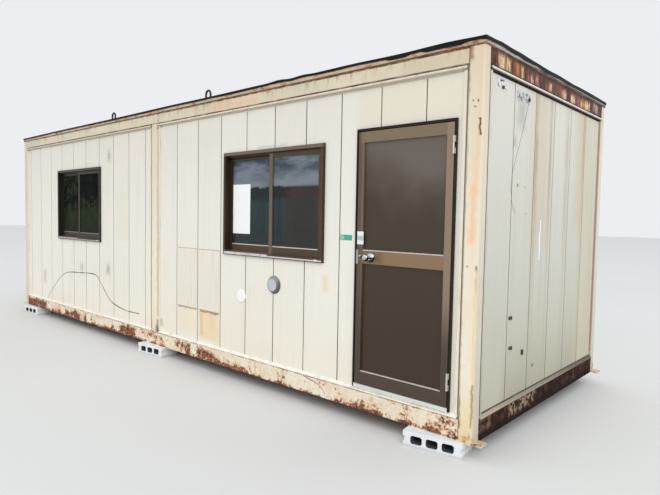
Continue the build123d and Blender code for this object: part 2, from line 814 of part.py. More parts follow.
def frame_hinge(middle):
    sixth = HINGE_LENGTH / 6
    low = middle - HINGE_LENGTH / 2
    high = middle + HINGE_LENGTH / 2
    plate_end = hinge_x + HINGE_PLATE_WIDTH
    pin = Pos(hinge_x, hinge_y, middle) * extrude(small_bar(HINGE_PIN_RADIUS), HINGE_LENGTH / 2, both=True)
    return knuckle(low, middle - sixth, plate_end) + knuckle(middle + sixth, high, plate_end) + pin


def leaf_hinge(middle):
    half = HINGE_LENGTH / 6 - HINGE_KNUCKLE_GAP
    turning = knuckle(middle - half, middle + half, hinge_x - HINGE_PLATE_WIDTH)
    bore = extrude(small_bore(HINGE_PIN_RADIUS + HINGE_PIN_FIT), HINGE_LENGTH, both=True)
    return turning - Pos(hinge_x, hinge_y, middle) * bore


save("door_frame", door_frame())
save("door_sill", door_sill())
save("door_leaf", door_leaf())
save("door_panels", *door_panels())
save("frame_hinges", *[frame_hinge(middle) for middle in hinge_middles])
save("leaf_hinges", *[leaf_hinge(middle) for middle in hinge_middles])


# Knob lock: a rose on both faces of the leaf, and two knobs on one spindle that turns in them

def door_rose(face, side):
    """A thick disc with a bore for the knob's neck."""
    section = Circle(ROSE_RADIUS) - small_bore(KNOB_NECK + KNOB_FIT)
    return along_spindle(section, face, side, 0, ROSE_DEPTH)


def knob_grip(face, side):
    """One knob on the neck that starts inside the rose."""
    neck = along_spindle(small_bar(KNOB_NECK), face, side, ROSE_GAP, KNOB_REACH)
    return neck + along_spindle(Circle(KNOB_RADIUS), face, side, KNOB_REACH - KNOB_GRIP, KNOB_REACH)


def door_knobs():
    spindle = along_spindle(small_bar(SPINDLE_RADIUS), door_front, 1, -2 * ROSE_GAP, DOOR_LEAF + 2 * ROSE_GAP)
    return knob_grip(door_front, -1) + spindle + knob_grip(leaf_back, 1)


save("door_roses", door_rose(door_front, -1), door_rose(leaf_back, 1))
save("door_knobs", door_knobs())

# Lock plates: a flat strike on the jamb, and an angle round the edge of the leaf

lock_plate_base = knob_z - LOCK_PLATE_HEIGHT / 2
lock_plate_top = knob_z + LOCK_PLATE_HEIGHT / 2


def lock_plate():
    lip_front = door_front - LOCK_PLATE_STEEL
    edge_left = leaf_left - LOCK_PLATE_STEEL
    lip_right = leaf_left + LOCK_PLATE_LIP
    edge = slab(edge_left, leaf_left, lip_front, leaf_back, lock_plate_base, lock_plate_top)
    return edge + slab(leaf_left, lip_right, lip_front, door_front, lock_plate_base, lock_plate_top)


save("strike_plate", slab(
    inside_left,
    inside_left + LOCK_PLATE_STEEL,
    door_front,
    stop_front,
    lock_plate_base,
    lock_plate_top,
))
save("lock_plate", lock_plate())


# Round fittings on the sheet: a vent cap with a flange, and a flat cover

def disc_on_wall(shift, drop, radius, depth):
    """A disc on the front wall, placed from the middle of the right window and from its foot."""
    origin = (right_window_middle + shift, -wall_outer_y, window_base - drop)
    plane = Plane(origin=origin, x_dir=(1, 0, 0), z_dir=(0, -1, 0))
    return extrude(plane * Circle(radius), depth)


vent_flange = disc_on_wall(VENT_SHIFT, VENT_DROP, VENT_RADIUS, VENT_FLANGE)
save("vent_cap", vent_flange + disc_on_wall(VENT_SHIFT, VENT_DROP, VENT_CAP_RADIUS, VENT_DEPTH))
save("round_cover", disc_on_wall(COVER_SHIFT, COVER_DROP, COVER_RADIUS, COVER_DEPTH))


# Concrete blocks: three cores through each, and a groove in each end

def concrete_block(x, side, turn):
    block = Box(BLOCK_LENGTH, BLOCK_DEPTH, BLOCK_THICKNESS)
    core = Rectangle(CORE_WIDTH, CORE_HEIGHT)
    core = chamfer(core.vertices(), CORE_BEVEL)
    core = Rot(90, 0, 0) * extrude(core, 2 * BLOCK_DEPTH, both=True)
    first = -CORE_PITCH * (CORE_COUNT - 1) / 2
    for i in range(CORE_COUNT):
        block -= Pos(first + i * CORE_PITCH, 0, 0) * core
    for end in (-1, 1):
        notch = Rectangle(2 * END_GROOVE_DEPTH, END_GROOVE_WIDTH)
        notch = chamfer(notch.vertices(), END_GROOVE_DEPTH - 1)
        notch = Rot(90, 0, 0) * extrude(notch, 2 * BLOCK_DEPTH, both=True)
        block -= Pos(end * BLOCK_LENGTH / 2, 0, 0) * notch
    middle_y = side * (half_width + BLOCK_PROUD - BLOCK_DEPTH / 2)
    return Pos(x, middle_y, BLOCK_THICKNESS / 2) * Rot(0, 0, turn) * block


block_places = (
    (-half_length + LEFT_BLOCK_INSET, LEFT_BLOCK_TURN),
    (0.0, MIDDLE_BLOCK_TURN),
    (half_length - RIGHT_BLOCK_INSET, RIGHT_BLOCK_TURN),
)
save("front_blocks", *[concrete_block(x, -1, turn) for x, turn in block_places])
save("back_blocks", *[concrete_block(-x, 1, turn) for x, turn in block_places])
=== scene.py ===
import bmesh
import bpy
import math
from mathutils import Matrix, Vector, noise


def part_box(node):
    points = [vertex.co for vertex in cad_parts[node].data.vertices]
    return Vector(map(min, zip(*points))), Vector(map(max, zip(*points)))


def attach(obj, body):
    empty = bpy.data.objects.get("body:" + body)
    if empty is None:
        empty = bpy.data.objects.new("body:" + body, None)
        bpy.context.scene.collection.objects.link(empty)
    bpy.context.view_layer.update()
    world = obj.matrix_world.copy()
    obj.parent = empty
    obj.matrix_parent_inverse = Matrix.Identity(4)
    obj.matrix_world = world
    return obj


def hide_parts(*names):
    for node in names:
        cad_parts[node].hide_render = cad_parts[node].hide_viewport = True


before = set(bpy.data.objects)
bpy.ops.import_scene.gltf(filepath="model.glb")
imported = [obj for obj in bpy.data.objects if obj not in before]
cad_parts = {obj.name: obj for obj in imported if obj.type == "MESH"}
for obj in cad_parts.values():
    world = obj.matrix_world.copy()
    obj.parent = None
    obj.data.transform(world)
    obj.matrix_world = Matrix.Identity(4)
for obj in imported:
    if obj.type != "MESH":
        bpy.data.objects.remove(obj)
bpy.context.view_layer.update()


# Camera, floor and daylight: seen from eye height past the front right corner, on a pale floor
# under an even cloudy sky.

def colour(red, green, blue):
    """A screen colour, each part from 0 to 255, as shaders take it."""
    parts = [part / 255 for part in (red, green, blue)]
    return (*[((part + 0.055) / 1.055) ** 2.4 if part > 0.04 else part / 12.92 for part in parts], 1.0)


class Drawing:
    """The nodes of one material, or of one effect that materials share."""

    def __init__(self, tree):
        self.tree = tree
        tree.nodes.clear()

    def node(self, kind, feeds=None, **settings):
        made = self.tree.nodes.new("ShaderNode" + kind)
        for name, value in settings.items():
            setattr(made, name, value)
        for name, value in (feeds or {}).items():
            self.feed(made.inputs[name], value)
        return made

    def feed(self, socket, value):
        if isinstance(value, bpy.types.NodeSocket):
            self.tree.links.new(value, socket)
        else:
            socket.default_value = value

    def math(self, do, *values):
        made = self.node("Math", operation=do)
        for socket, value in zip(made.inputs, values):
            self.feed(socket, value)
        return made.outputs[0]

    def times(self, first, second):
        return self.math("MULTIPLY", first, second)

    def vector(self, do, *values):
        made = self.node("VectorMath", operation=do)
        for socket, value in zip(made.inputs, values):
            self.feed(socket, value)
        return made.outputs[0]

    def split(self, vector):
        return self.node("SeparateXYZ", {"Vector": vector}).outputs

    def join(self, x, y, z):
        return self.node("CombineXYZ", {"X": x, "Y": y, "Z": z}).outputs[0]

    def mix(self, share, first, second):
        """Two colours, as nodes or as screen parts: the first where the share is 0, the second at 1."""
        made = self.node("Mix", data_type="RGBA")
        self.feed(made.inputs[0], share)
        for index, tint in ((6, first), (7, second)):
            self.feed(made.inputs[index], colour(*tint) if isinstance(tint, tuple) else tint)
        return made.outputs[2]

    def span(self, value, start, end, low=0.0, high=1.0):
        """A soft step of a value from one level to another."""
        return self.node("MapRange", {
            "Value": value, "From Min": start, "From Max": end, "To Min": low, "To Max": high,
        }, interpolation_type="SMOOTHSTEP").outputs[0]

    def ramp(self, value, stops):
        """A colour that follows a value through stops, each a level and a colour, lowest first."""
        low, high = stops[0][0], stops[-1][0]
        share = self.node("MapRange", {"Value": value, "From Min": low, "From Max": high}).outputs[0]
        made = self.node("ValToRGB", {"Fac": share})
        points = made.color_ramp.elements
        points[0].color, points[-1].color = colour(*stops[0][1]), colour(*stops[-1][1])
        for level, tint in stops[1:-1]:
            points.new((level - low) / (high - low)).color = colour(*tint)
        return made.outputs[0]

    def noise(self, place, scale, detail=3.0, rough=0.55):
        return self.node("TexNoise", {
            "Vector": place, "Scale": scale, "Detail": detail, "Roughness": rough,
        }).outputs[0]

    def use(self, effect, **feeds):
        made = self.node("Group")
        made.node_tree = effect
        for name, value in feeds.items():
            self.feed(made.inputs[name], value)
        return made.outputs


class Finish(Drawing):
    """One material: nodes that end in its shader, and the paint that is on it so far."""

    def __init__(self, name, **levels):
        self.material = bpy.data.materials.new(name)
        self.material.use_nodes = True
        super().__init__(self.material.node_tree)
        self.shader = self.node("BsdfPrincipled")
        self.set(**levels)
        end = self.node("OutputMaterial")
        self.tree.links.new(self.shader.outputs[0], end.inputs[0])
        self.place = self.node("TexCoord").outputs["Object"]
        self.x, self.y, self.z = self.split(self.place)

    def set(self, **levels):
        """Feed or set the shader's sockets, named with _ for each space."""
        for name, value in levels.items():
            self.feed(self.shader.inputs[name.replace("_", " ")], value)

    def grain(self, scale, detail=3.0, rough=0.55, stretch=None):
        """Noise over the piece, drawn out along an axis where its stretch is small."""
        place = self.vector("MULTIPLY", self.place, stretch) if stretch else self.place
        return self.noise(place, scale, detail, rough)

    def lay(self, paint):
        """Take a colour as the paint."""
        self.paint = paint
        self.set(Base_Color=paint)

    def coat(self, share, tint, strength=None):
        """Cover the paint with a colour where the share is high."""
        if strength is not None:
            share = self.times(share, strength)
        self.lay(self.mix(share, self.paint, tint))

    def bump(self, height, depth):
        made = self.node("Bump", {"Height": height, "Distance": depth, "Strength": 1.0})
        self.tree.links.new(made.outputs[0], self.shader.inputs["Normal"])


def plain_finish(name, first, second, scale, relief=None, **levels):
    """A finish that wanders between two colours, with a relief of a scale and a depth."""
    finish = Finish(name, **levels)
    finish.lay(finish.mix(finish.grain(scale), first, second))
    if relief:
        finish.bump(finish.grain(relief[0]), relief[1])
    return finish


CAMERA_PLACE = (5.08955, -4.11020, 1.44166)
CAMERA_YAW, CAMERA_PITCH, CAMERA_ROLL = (math.radians(angle) for angle in (41.9975, -3.0996, 1.0711))
camera = bpy.data.objects.new("camera", bpy.data.cameras.new("camera"))
camera.data.lens = 29.783
camera.data.sensor_width = 36.0
camera.data.sensor_fit = "HORIZONTAL"
camera.matrix_world = (
    Matrix.Translation(CAMERA_PLACE)
    @ Matrix.Rotation(CAMERA_YAW, 4, "Z")
    @ Matrix.Rotation(math.pi / 2 + CAMERA_PITCH, 4, "X")
    @ Matrix.Rotation(CAMERA_ROLL, 4, "Z")
)
bpy.context.collection.objects.link(camera)
bpy.context.scene.camera = camera
bpy.context.scene.view_settings.view_transform = "Standard"

FLOOR_REACH = 60.0
ground = bmesh.new()
bmesh.ops.create_grid(ground, x_segments=8, y_segments=8, size=FLOOR_REACH)
floor_mesh = bpy.data.meshes.new("floor")
ground.to_mesh(floor_mesh)
floor = bpy.data.objects.new("floor", floor_mesh)
bpy.context.collection.objects.link(floor)
floor_mesh.materials.append(plain_finish(
    "pale floor", (222, 222, 219), (228, 228, 225), 0.4, Roughness=0.9, Specular_IOR_Level=0.2).material)

SKY_LIGHT, SKY_SHOWN, SKY_STRENGTH = colour(247, 250, 255), colour(236, 238, 241), 0.95
world = bpy.data.worlds.new("cloudy sky")
world.use_nodes = True
bpy.context.scene.world = world
sky = Drawing(world.node_tree)
rays = sky.node("LightPath").outputs
seen = sky.math("MAXIMUM", rays["Is Camera Ray"], rays["Is Transmission Ray"])
lit = sky.node("Background", {"Color": SKY_LIGHT, "Strength": SKY_STRENGTH})
shown = sky.node("Background", {"Color": SKY_SHOWN, "Strength": 1.0})
either = sky.node("MixShader", {"Fac": seen})
sky.tree.links.new(lit.outputs[0], either.inputs[1])
sky.tree.links.new(shown.outputs[0], either.inputs[2])
sky.tree.links.new(either.outputs[0], sky.node("OutputWorld").inputs[0])

LAMP_PLACE, LAMP_AIM = Vector((23.0, -21.0, 23.5)), Vector((0.5, 0.0, 1.0))
lamp = bpy.data.objects.new("soft lamp", bpy.data.lights.new("soft lamp", "AREA"))
lamp.data.energy = 4600.0
lamp.data.size = 27.0
lamp.location = LAMP_PLACE
lamp.rotation_mode = "QUATERNION"
lamp.rotation_quaternion = (LAMP_AIM - LAMP_PLACE).to_track_quat("-Z", "Y")
bpy.context.collection.objects.link(lamp)


# Concrete blocks: six hollow building blocks of pressed grey concrete, laid flat under the corners
# and the middle to carry the floor frame.

def dress(finish, *names):
    """Put a finish on the frame's own nodes."""
    for name in names:
        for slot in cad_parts[name].material_slots:
            slot.material = finish.material


HOLLOW_MIDDLES, HOLLOW_RISE = (-3.25, 0.0, 3.34), 0.05
HOLLOW_EDGE, HOLLOW_LIP = (0.170, 0.160), (0.030, 0.026)
concrete = Finish("pressed concrete", Roughness=0.92)
speck = concrete.grain(160.0, 4.0, 0.7)
concrete.lay(concrete.mix(concrete.grain(9.0), (226, 229, 230), (246, 249, 250)))
concrete.coat(concrete.span(speck, 0.56, 0.66, 0.0, 0.45), (150, 149, 146))
row_side = concrete.math("SIGN", concrete.times(concrete.y, -1.0))
across = concrete.times(concrete.x, row_side)
rise = concrete.math("ABSOLUTE", concrete.math("SUBTRACT", concrete.z, HOLLOW_RISE))
sideways = concrete.math("ABSOLUTE", concrete.split(concrete.node("NewGeometry").outputs["Normal"])[1])
turned_in = concrete.math("LESS_THAN", sideways, 0.5)
# Painted shade: the inner walls of the blocks' cores are painted dark grey, where shade falls in the
# hollows.
for middle in HOLLOW_MIDDLES:
    along = concrete.math("ABSOLUTE", concrete.math("SUBTRACT", across, middle))
    hollow = concrete.times(concrete.span(along, *HOLLOW_EDGE), concrete.span(rise, *HOLLOW_LIP))
    concrete.coat(hollow, (84, 86, 90), turned_in)
concrete.coat(concrete.span(concrete.z, 0.0, 0.03, 0.4, 0.0), (150, 144, 130))
concrete.bump(speck, 0.002)
dress(concrete, "front_blocks", "back_blocks")


# Floor frame: channel beams round the edge and cross joists between them, in cream paint over steel
# that rusts along its lower edge and where water stands.

def new_effect(name, takes, gives):
    """An empty shared effect, with its way in and its way out."""
    tree = bpy.data.node_groups.new(name, "ShaderNodeTree")
    for socket, kind in takes.items():
        tree.interface.new_socket(socket, in_out="INPUT", socket_type="NodeSocket" + kind)
    for socket, kind in gives.items():
        tree.interface.new_socket(socket, in_out="OUTPUT", socket_type="NodeSocket" + kind)
    drawing = Drawing(tree)
    return drawing, tree.nodes.new("NodeGroupInput").outputs, tree.nodes.new("NodeGroupOutput").inputs


drawing, takes, gives = new_effect(
    "ragged place", {"Position": "Vector", "Scale": "Float", "Reach": "Float"}, {"Position": "Vector"})
stir = drawing.node("TexNoise", {"Vector": takes["Position"], "Scale": takes["Scale"], "Detail": 3.0})
stir = drawing.vector("SUBTRACT", stir.outputs["Color"], (0.5, 0.5, 0.5))
reach = drawing.join(takes["Reach"], takes["Reach"], takes["Reach"])
stir = drawing.vector("MULTIPLY", stir, reach)
drawing.feed(gives["Position"], drawing.vector("ADD", takes["Position"], stir))
ragged_place = drawing.tree

drawing, takes, gives = new_effect(
    "box mask", {"Position": "Vector", "Low": "Vector", "High": "Vector", "Soft": "Float"},
    {"Mask": "Float"})
below = drawing.vector("SUBTRACT", takes["Low"], takes["Position"])
above = drawing.vector("SUBTRACT", takes["Position"], takes["High"])
sides = drawing.split(drawing.vector("MAXIMUM", below, above))
outside = drawing.math("MAXIMUM", drawing.math("MAXIMUM", sides[0], sides[1]), sides[2])
drawing.feed(gives["Mask"], drawing.span(outside, takes["Soft"], drawing.times(takes["Soft"], -1.0)))
box_mask = drawing.tree

drawing, takes, gives = new_effect(
    "rust", {"Position": "Vector", "Amount": "Float"},
    {"Color": "Color", "Mask": "Float", "Stain": "Float", "Height": "Float"})
broad = drawing.noise(takes["Position"], 6.0, 9.0, 0.72)
level = drawing.math("SUBTRACT", 1.0, takes["Amount"])
bare = drawing.span(broad, drawing.math("SUBTRACT", level, 0.015), drawing.math("ADD", level, 0.03))
drawing.feed(gives["Mask"], bare)
drawing.feed(gives["Stain"], drawing.span(broad, drawing.math("SUBTRACT", level, 0.09), level))
grain = drawing.noise(takes["Position"], 38.0, 6.0, 0.72)
drawing.feed(gives["Color"], drawing.ramp(
    grain, [(0.34, (60, 35, 29)), (0.50, (122, 72, 54)), (0.68, (196, 128, 88))]))
drawing.feed(gives["Height"], drawing.times(bare, drawing.math("ADD", grain, 0.4)))
rust = drawing.tree

drawing, takes, gives = new_effect(
    "rain streaks", {"Position": "Vector", "Across": "Float", "Down": "Float"}, {"Mask": "Float"})
stretch = drawing.join(takes["Across"], takes["Across"], takes["Down"])
run = drawing.noise(drawing.vector("MULTIPLY", takes["Position"], stretch), 1.0, 4.0, 0.6)
drawing.feed(gives["Mask"], drawing.span(run, 0.48, 0.70))
rain_streaks = drawing.tree


FRONT_DEPTH, END_DEPTH = (-1.2, -1.0), (3.5, 3.7)


def painted_box(finish, low, high, soft=0.01, place=None):
    """Where a box, given by its lowest and highest corners, meets the piece."""
    return finish.use(box_mask, Position=place or finish.place, Low=low, High=high, Soft=soft)["Mask"]


def front_box(finish, x0, x1, z0, z1, soft=0.01, place=None, depth=FRONT_DEPTH):
    """Where a box through the front side meets the piece."""
    return painted_box(finish, (x0, depth[0], z0), (x1, depth[1], z1), soft, place)


def end_box(finish, y0, y1, z0, z1, soft=0.01, place=None, depth=END_DEPTH):
    """Where a box through the right end meets the piece."""
    return painted_box(finish, (depth[0], y0, z0), (depth[1], y1, z1), soft, place)


def streaks(finish, across, down):
    """Where rain has run down, the closer together the higher the first number."""
    return finish.use(rain_streaks, Position=finish.place, Across=across, Down=down)["Mask"]


def weathered_steel(finish, amount, stain):
    """Chalky paint, rusting where the amount is high, with a stained edge round the rust."""
    spots = finish.use(rust, Position=finish.place, Amount=amount)
    finish.coat(spots["Stain"], stain, 0.75)
    finish.coat(spots["Mask"], spots["Color"])
    finish.set(Roughness=finish.span(spots["Mask"], 0.0, 1.0, 0.55, 0.95))
    stipple = finish.times(finish.grain(300.0), 0.15)
    finish.bump(finish.math("ADD", stipple, spots["Height"]), 0.0012)


RUST_STAIN = (210, 158, 108)
BEAM_DEPTH, END_BEAM_DEPTH = (-1.3, -1.0), (3.4, 3.8)
UNDER_STRIP, LOWER_EDGE, TANNED_X = (0.223, 0.228), (0.102, 0.135), (2.0, -1.0)
FRONT_RUST = [
    (-3.600, -2.850, 0.100, 0.215, 0.23),
    (-2.850, -2.210, 0.100, 0.145, 0.13),
    (-2.210, -1.600, 0.110, 0.190, 0.19),
    (-1.450, -0.800, 0.100, 0.140, 0.11),
    (-0.760, -0.390, 0.105, 0.200, 0.25),
    (-0.300, 0.250, 0.150, 0.215, 0.10),
    (0.420, 0.650, 0.128, 0.215, 0.15),
    (0.770, 1.040, 0.122, 0.196, 0.20),
    (1.040, 1.500, 0.108, 0.150, 0.15),
    (2.500, 3.480, 0.100, 0.140, 0.11),
    (3.300, 3.490, 0.110, 0.220, 0.08),
]
beams = Finish("rusting cream beam")
beams.lay(beams.mix(beams.grain(3.0), (244, 236, 216), (238, 224, 198)))
beams.coat(streaks(beams, 26.0, 9.0), (214, 172, 128), 0.30)
scratch = beams.grain(1.0, 6.0, 0.7, (9.0, 9.0, 40.0))
beams.coat(beams.span(scratch, 0.60, 0.70, 0.0, 0.55), (164, 112, 76))
broken = beams.span(beams.grain(1.0, 4.0, stretch=(12.0, 1.0, 1.0)), 0.40, 0.60)
beams.coat(beams.span(beams.z, *UNDER_STRIP), (138, 92, 62), broken)
tanned = beams.span(beams.grain(1.0, 5.0, 0.7, (3.5, 1.0, 9.0)), 0.46, 0.62)
beams.coat(tanned, (222, 178, 134), beams.span(beams.x, *TANNED_X, 0.25, 0.75))
amount = beams.math("ADD", beams.span(beams.z, *LOWER_EDGE, 0.12, 0.0), 0.37)
for *patch, more in FRONT_RUST:
    amount = beams.math("MULTIPLY_ADD", front_box(beams, *patch, 0.040, depth=BEAM_DEPTH), more, amount)
flakes = beams.math("SUBTRACT", beams.grain(45.0, 5.0, 0.7), 0.5)
weathered_steel(beams, beams.math("MULTIPLY_ADD", flakes, 0.55, amount), RUST_STAIN)
dress(beams, "front_floor_beam", "back_floor_beam")

BY_POST, FLAKED, END_SHADOW = (-1.12, -0.92, 0.165, 0.235), (-0.64, -0.22, 0.155, 0.235), (0.165, 0.125)
end_beams = Finish("rusted end beam", Roughness=0.9, Specular_IOR_Level=0.15)
blotch = end_beams.grain(16.0, 6.0, 0.7)
end_beams.lay(end_beams.ramp(blotch, [(0.35, (22, 14, 11)), (0.52, (52, 32, 25)), (0.68, (106, 70, 52))]))
end_beams.coat(end_beams.span(end_beams.z, *END_SHADOW, 0.0, 0.8), (18, 12, 10))
by_post = end_box(end_beams, *BY_POST, 0.03, depth=END_BEAM_DEPTH)
end_beams.coat(by_post, (136, 106, 86), end_beams.span(blotch, 0.40, 0.60))
flaked = end_box(end_beams, *FLAKED, 0.04, depth=END_BEAM_DEPTH)
end_beams.coat(flaked, (170, 146, 120), end_beams.span(end_beams.grain(26.0, 4.0), 0.46, 0.56))
end_beams.bump(blotch, 0.003)
dress(end_beams, "left_floor_beam", "right_floor_beam")

primed = Finish("red primer", Roughness=0.75)
tone = primed.grain(12.0, 5.0)
primed.lay(primed.mix(tone, (96, 52, 40), (124, 70, 50)))
primed.bump(tone, 0.001)
dress(primed, "floor_joists")

boards = Finish("plywood floor", Roughness=0.6)
grain = boards.grain(1.0, 4.0, stretch=(3.0, 90.0, 90.0))
boards.lay(boards.mix(grain, (128, 98, 66), (168, 134, 94)))
boards.bump(grain, 0.0004)
dress(boards, "floor_board")


# Posts: rounded steel tubes at the corners and a flat one between the bays, in cream paint that has
# yellowed, with rust runs below each wound and at the foot.

def mark(finish, marks, box=front_box):
    """Lay ragged marks over the paint, each a box, an edge width, a colour and a strength."""
    stirred = finish.use(ragged_place, Position=finish.place, Scale=14.0, Reach=0.05)["Position"]
    for *corners, soft, tint, strength in marks:
        finish.coat(box(finish, *corners, soft, stirred), tint, strength)


# Painted shade: the posts' cream darkens towards the top, under the roof edge.
POST_PAINTED_SHADE = [
    (0.10, (236, 220, 182)), (0.30, (240, 230, 200)), (0.60, (242, 235, 214)),
    (1.00, (240, 233, 212)), (1.30, (237, 228, 207)), (1.60, (232, 224, 200)),
    (1.90, (228, 218, 193)), (2.20, (224, 214, 187)), (2.45, (216, 204, 177)),
]
# Painted shade: the sides of the posts that face the end are a darker copy of the cream, darkest at the
# foot.
POST_SIDE_PAINTED_SHADE = [
    (0.10, (196, 189, 174)), (0.50, (203, 198, 183)), (1.00, (211, 204, 186)),
    (1.50, (220, 212, 191)), (2.00, (229, 214, 190)), (2.45, (220, 203, 178)),
]
POST_SIDE_X = 3.594
ORANGE_RUN = (246, 194, 150)
BROWN_RUN = (158, 106, 68)
POST_MARKS = [
    (3.538, 3.570, 1.30, 1.64, 0.024, ORANGE_RUN, 0.9),
    (3.546, 3.578, 1.60, 1.82, 0.020, ORANGE_RUN, 0.50),
    (3.538, 3.572, 0.60, 1.30, 0.030, (243, 216, 186), 0.50),
    (3.45, 3.70, 0.10, 0.34, 0.080, (238, 214, 160), 0.50),
    (3.562, 3.584, 1.80, 2.44, 0.016, (238, 200, 166), 0.60),
    (3.560, 3.590, 1.80, 2.00, 0.025, ORANGE_RUN, 0.35),
    (3.576, 3.588, 1.939, 2.037, 0.006, (96, 54, 26), 1.00),
    (3.581, 3.591, 1.02, 1.18, 0.006, (112, 76, 44), 0.90),
    (3.576, 3.600, 0.30, 1.15, 0.010, (238, 208, 166), 0.80),
    (3.580, 3.592, 0.20, 0.46, 0.009, (160, 112, 70), 0.85),
    (3.497, 3.530, 2.38, 2.47, 0.014, (160, 98, 56), 0.75),
    (3.497, 3.508, 2.20, 2.48, 0.012, BROWN_RUN, 0.55),
    (3.497, 3.508, 0.18, 0.38, 0.010, (112, 64, 44), 0.85),
    (3.497, 3.503, 0.38, 2.40, 0.008, BROWN_RUN, 0.40),
    (-0.100, -0.055, 0.22, 0.33, 0.020, (116, 76, 54), 0.80),
    (0.028, 0.080, 0.20, 0.29, 0.035, (84, 50, 38), 0.95),
    (0.040, 0.064, 0.28, 0.36, 0.018, (92, 58, 44), 0.80),
    (0.040, 0.080, 0.40, 2.40, 0.012, (204, 186, 160), 0.75),
    (-0.080, -0.058, 0.40, 2.40, 0.010, BROWN_RUN, 0.35),
    (0.040, 0.080, 2.30, 2.37, 0.012, BROWN_RUN, 0.75),
    (-3.610, -3.480, 0.10, 2.46, 0.010, (202, 188, 178), 0.55),
    (-3.610, -3.560, 0.60, 1.20, 0.060, (240, 206, 196), 0.60),
]
SCREW_MARKS = [(3.533, 2.146), (3.565, 2.142), (3.544, 2.105), (3.502, 2.022), (3.532, 1.171)]
SCREW_REACH, SPATTER_Z, FOOT_RUST_Z = 0.005, (0.50, 0.16), (0.11, 0.40)
POST_MARKS += [(x - SCREW_REACH, x + SCREW_REACH, z - SCREW_REACH, z + SCREW_REACH, 0.004, (92, 72, 54), 0.9)
               for x, z in SCREW_MARKS]
posts = Finish("yellowed post paint")
posts.lay(posts.ramp(posts.z, POST_PAINTED_SHADE))
posts.coat(posts.span(posts.grain(2.5), 0.45, 0.70, 0.0, 0.4), (238, 216, 186))
posts.coat(streaks(posts, 38.0, 1.6), (222, 196, 158), 0.18)
mark(posts, POST_MARKS)
# Painted shade on the sides of the posts that face the end.
shaded_side = posts.math("GREATER_THAN", posts.math("ABSOLUTE", posts.x), POST_SIDE_X)
posts.coat(shaded_side, posts.ramp(posts.z, POST_SIDE_PAINTED_SHADE), 0.85)
specks = posts.span(posts.grain(75.0, 4.0, 0.7), 0.60, 0.68)
low_down = posts.span(posts.z, *SPATTER_Z, 0.0, 0.22)
amount = posts.math("MULTIPLY_ADD", specks, low_down, posts.span(posts.z, *FOOT_RUST_Z, 0.41, 0.26))
weathered_steel(posts, amount, RUST_STAIN)
dress(posts, "front_right_post", "front_left_post", "back_right_post", "back_left_post",
      "front_middle_post", "back_middle_post")


# Roof frame: long and end fascia beams under the roof edge. The long ones keep their cream paint,
# the end ones have rusted through it in flames from the leaking roof edge.

FASCIA_MARKS = [
    (0.727, 0.731, 2.36, 2.46, 0.003, (120, 90, 70), 0.8),
    (1.004, 1.008, 2.36, 2.46, 0.003, (120, 90, 70), 0.8),
    (-0.078, -0.058, 2.36, 2.46, 0.010, ORANGE_RUN, 0.8),
    (0.056, 0.078, 2.36, 2.46, 0.010, BROWN_RUN, 0.6),
    (-3.456, -2.978, 2.355, 2.445, 0.010, (196, 192, 184), 0.7),
    (0.95, 1.60, 2.37, 2.43, 0.060, (230, 176, 142), 0.6),
    (3.05, 3.60, 2.36, 2.46, 0.080, (206, 188, 158), 0.6),
]
SHADOW_AND_RUST_LINE, FOLD_LINE, TOP_LINE_X = (2.449, 2.454), (2.370, 2.366), (-1.5, 1.5)
fascia = Finish("cream fascia paint")
fascia.lay(fascia.mix(fascia.span(fascia.grain(1.7), 0.35, 0.65), (222, 208, 182), (208, 201, 173)))
fascia.coat(fascia.span(fascia.grain(4.3), 0.52, 0.72, 0.0, 0.7), (226, 198, 168))
fascia.coat(streaks(fascia, 30.0, 6.0), (150, 116, 82), fascia.span(fascia.z, 2.38, 2.46, 0.1, 0.6))
mark(fascia, FASCIA_MARKS)
# Painted shadow under the roof lip together with rust: a dark broken line along the top of the fascia.
broken = fascia.span(fascia.grain(1.0, 4.0, stretch=(14.0, 1.0, 1.0)), 0.35, 0.55, 0.45, 1.0)
shadow_and_rust_line = fascia.times(fascia.span(fascia.z, *SHADOW_AND_RUST_LINE), broken)
fascia.coat(shadow_and_rust_line, (92, 62, 44), fascia.span(fascia.x, *TOP_LINE_X, 0.55, 1.0))
broken = fascia.span(fascia.grain(1.0, 4.0, stretch=(9.0, 1.0, 1.0)), 0.30, 0.60, 0.55, 1.0)
fascia.coat(fascia.span(fascia.z, *FOLD_LINE), (94, 62, 44), broken)
weathered_steel(fascia, fascia.span(fascia.z, 2.40, 2.46, 0.28, 0.37), RUST_STAIN)
dress(fascia, "front_roof_beam", "back_roof_beam")

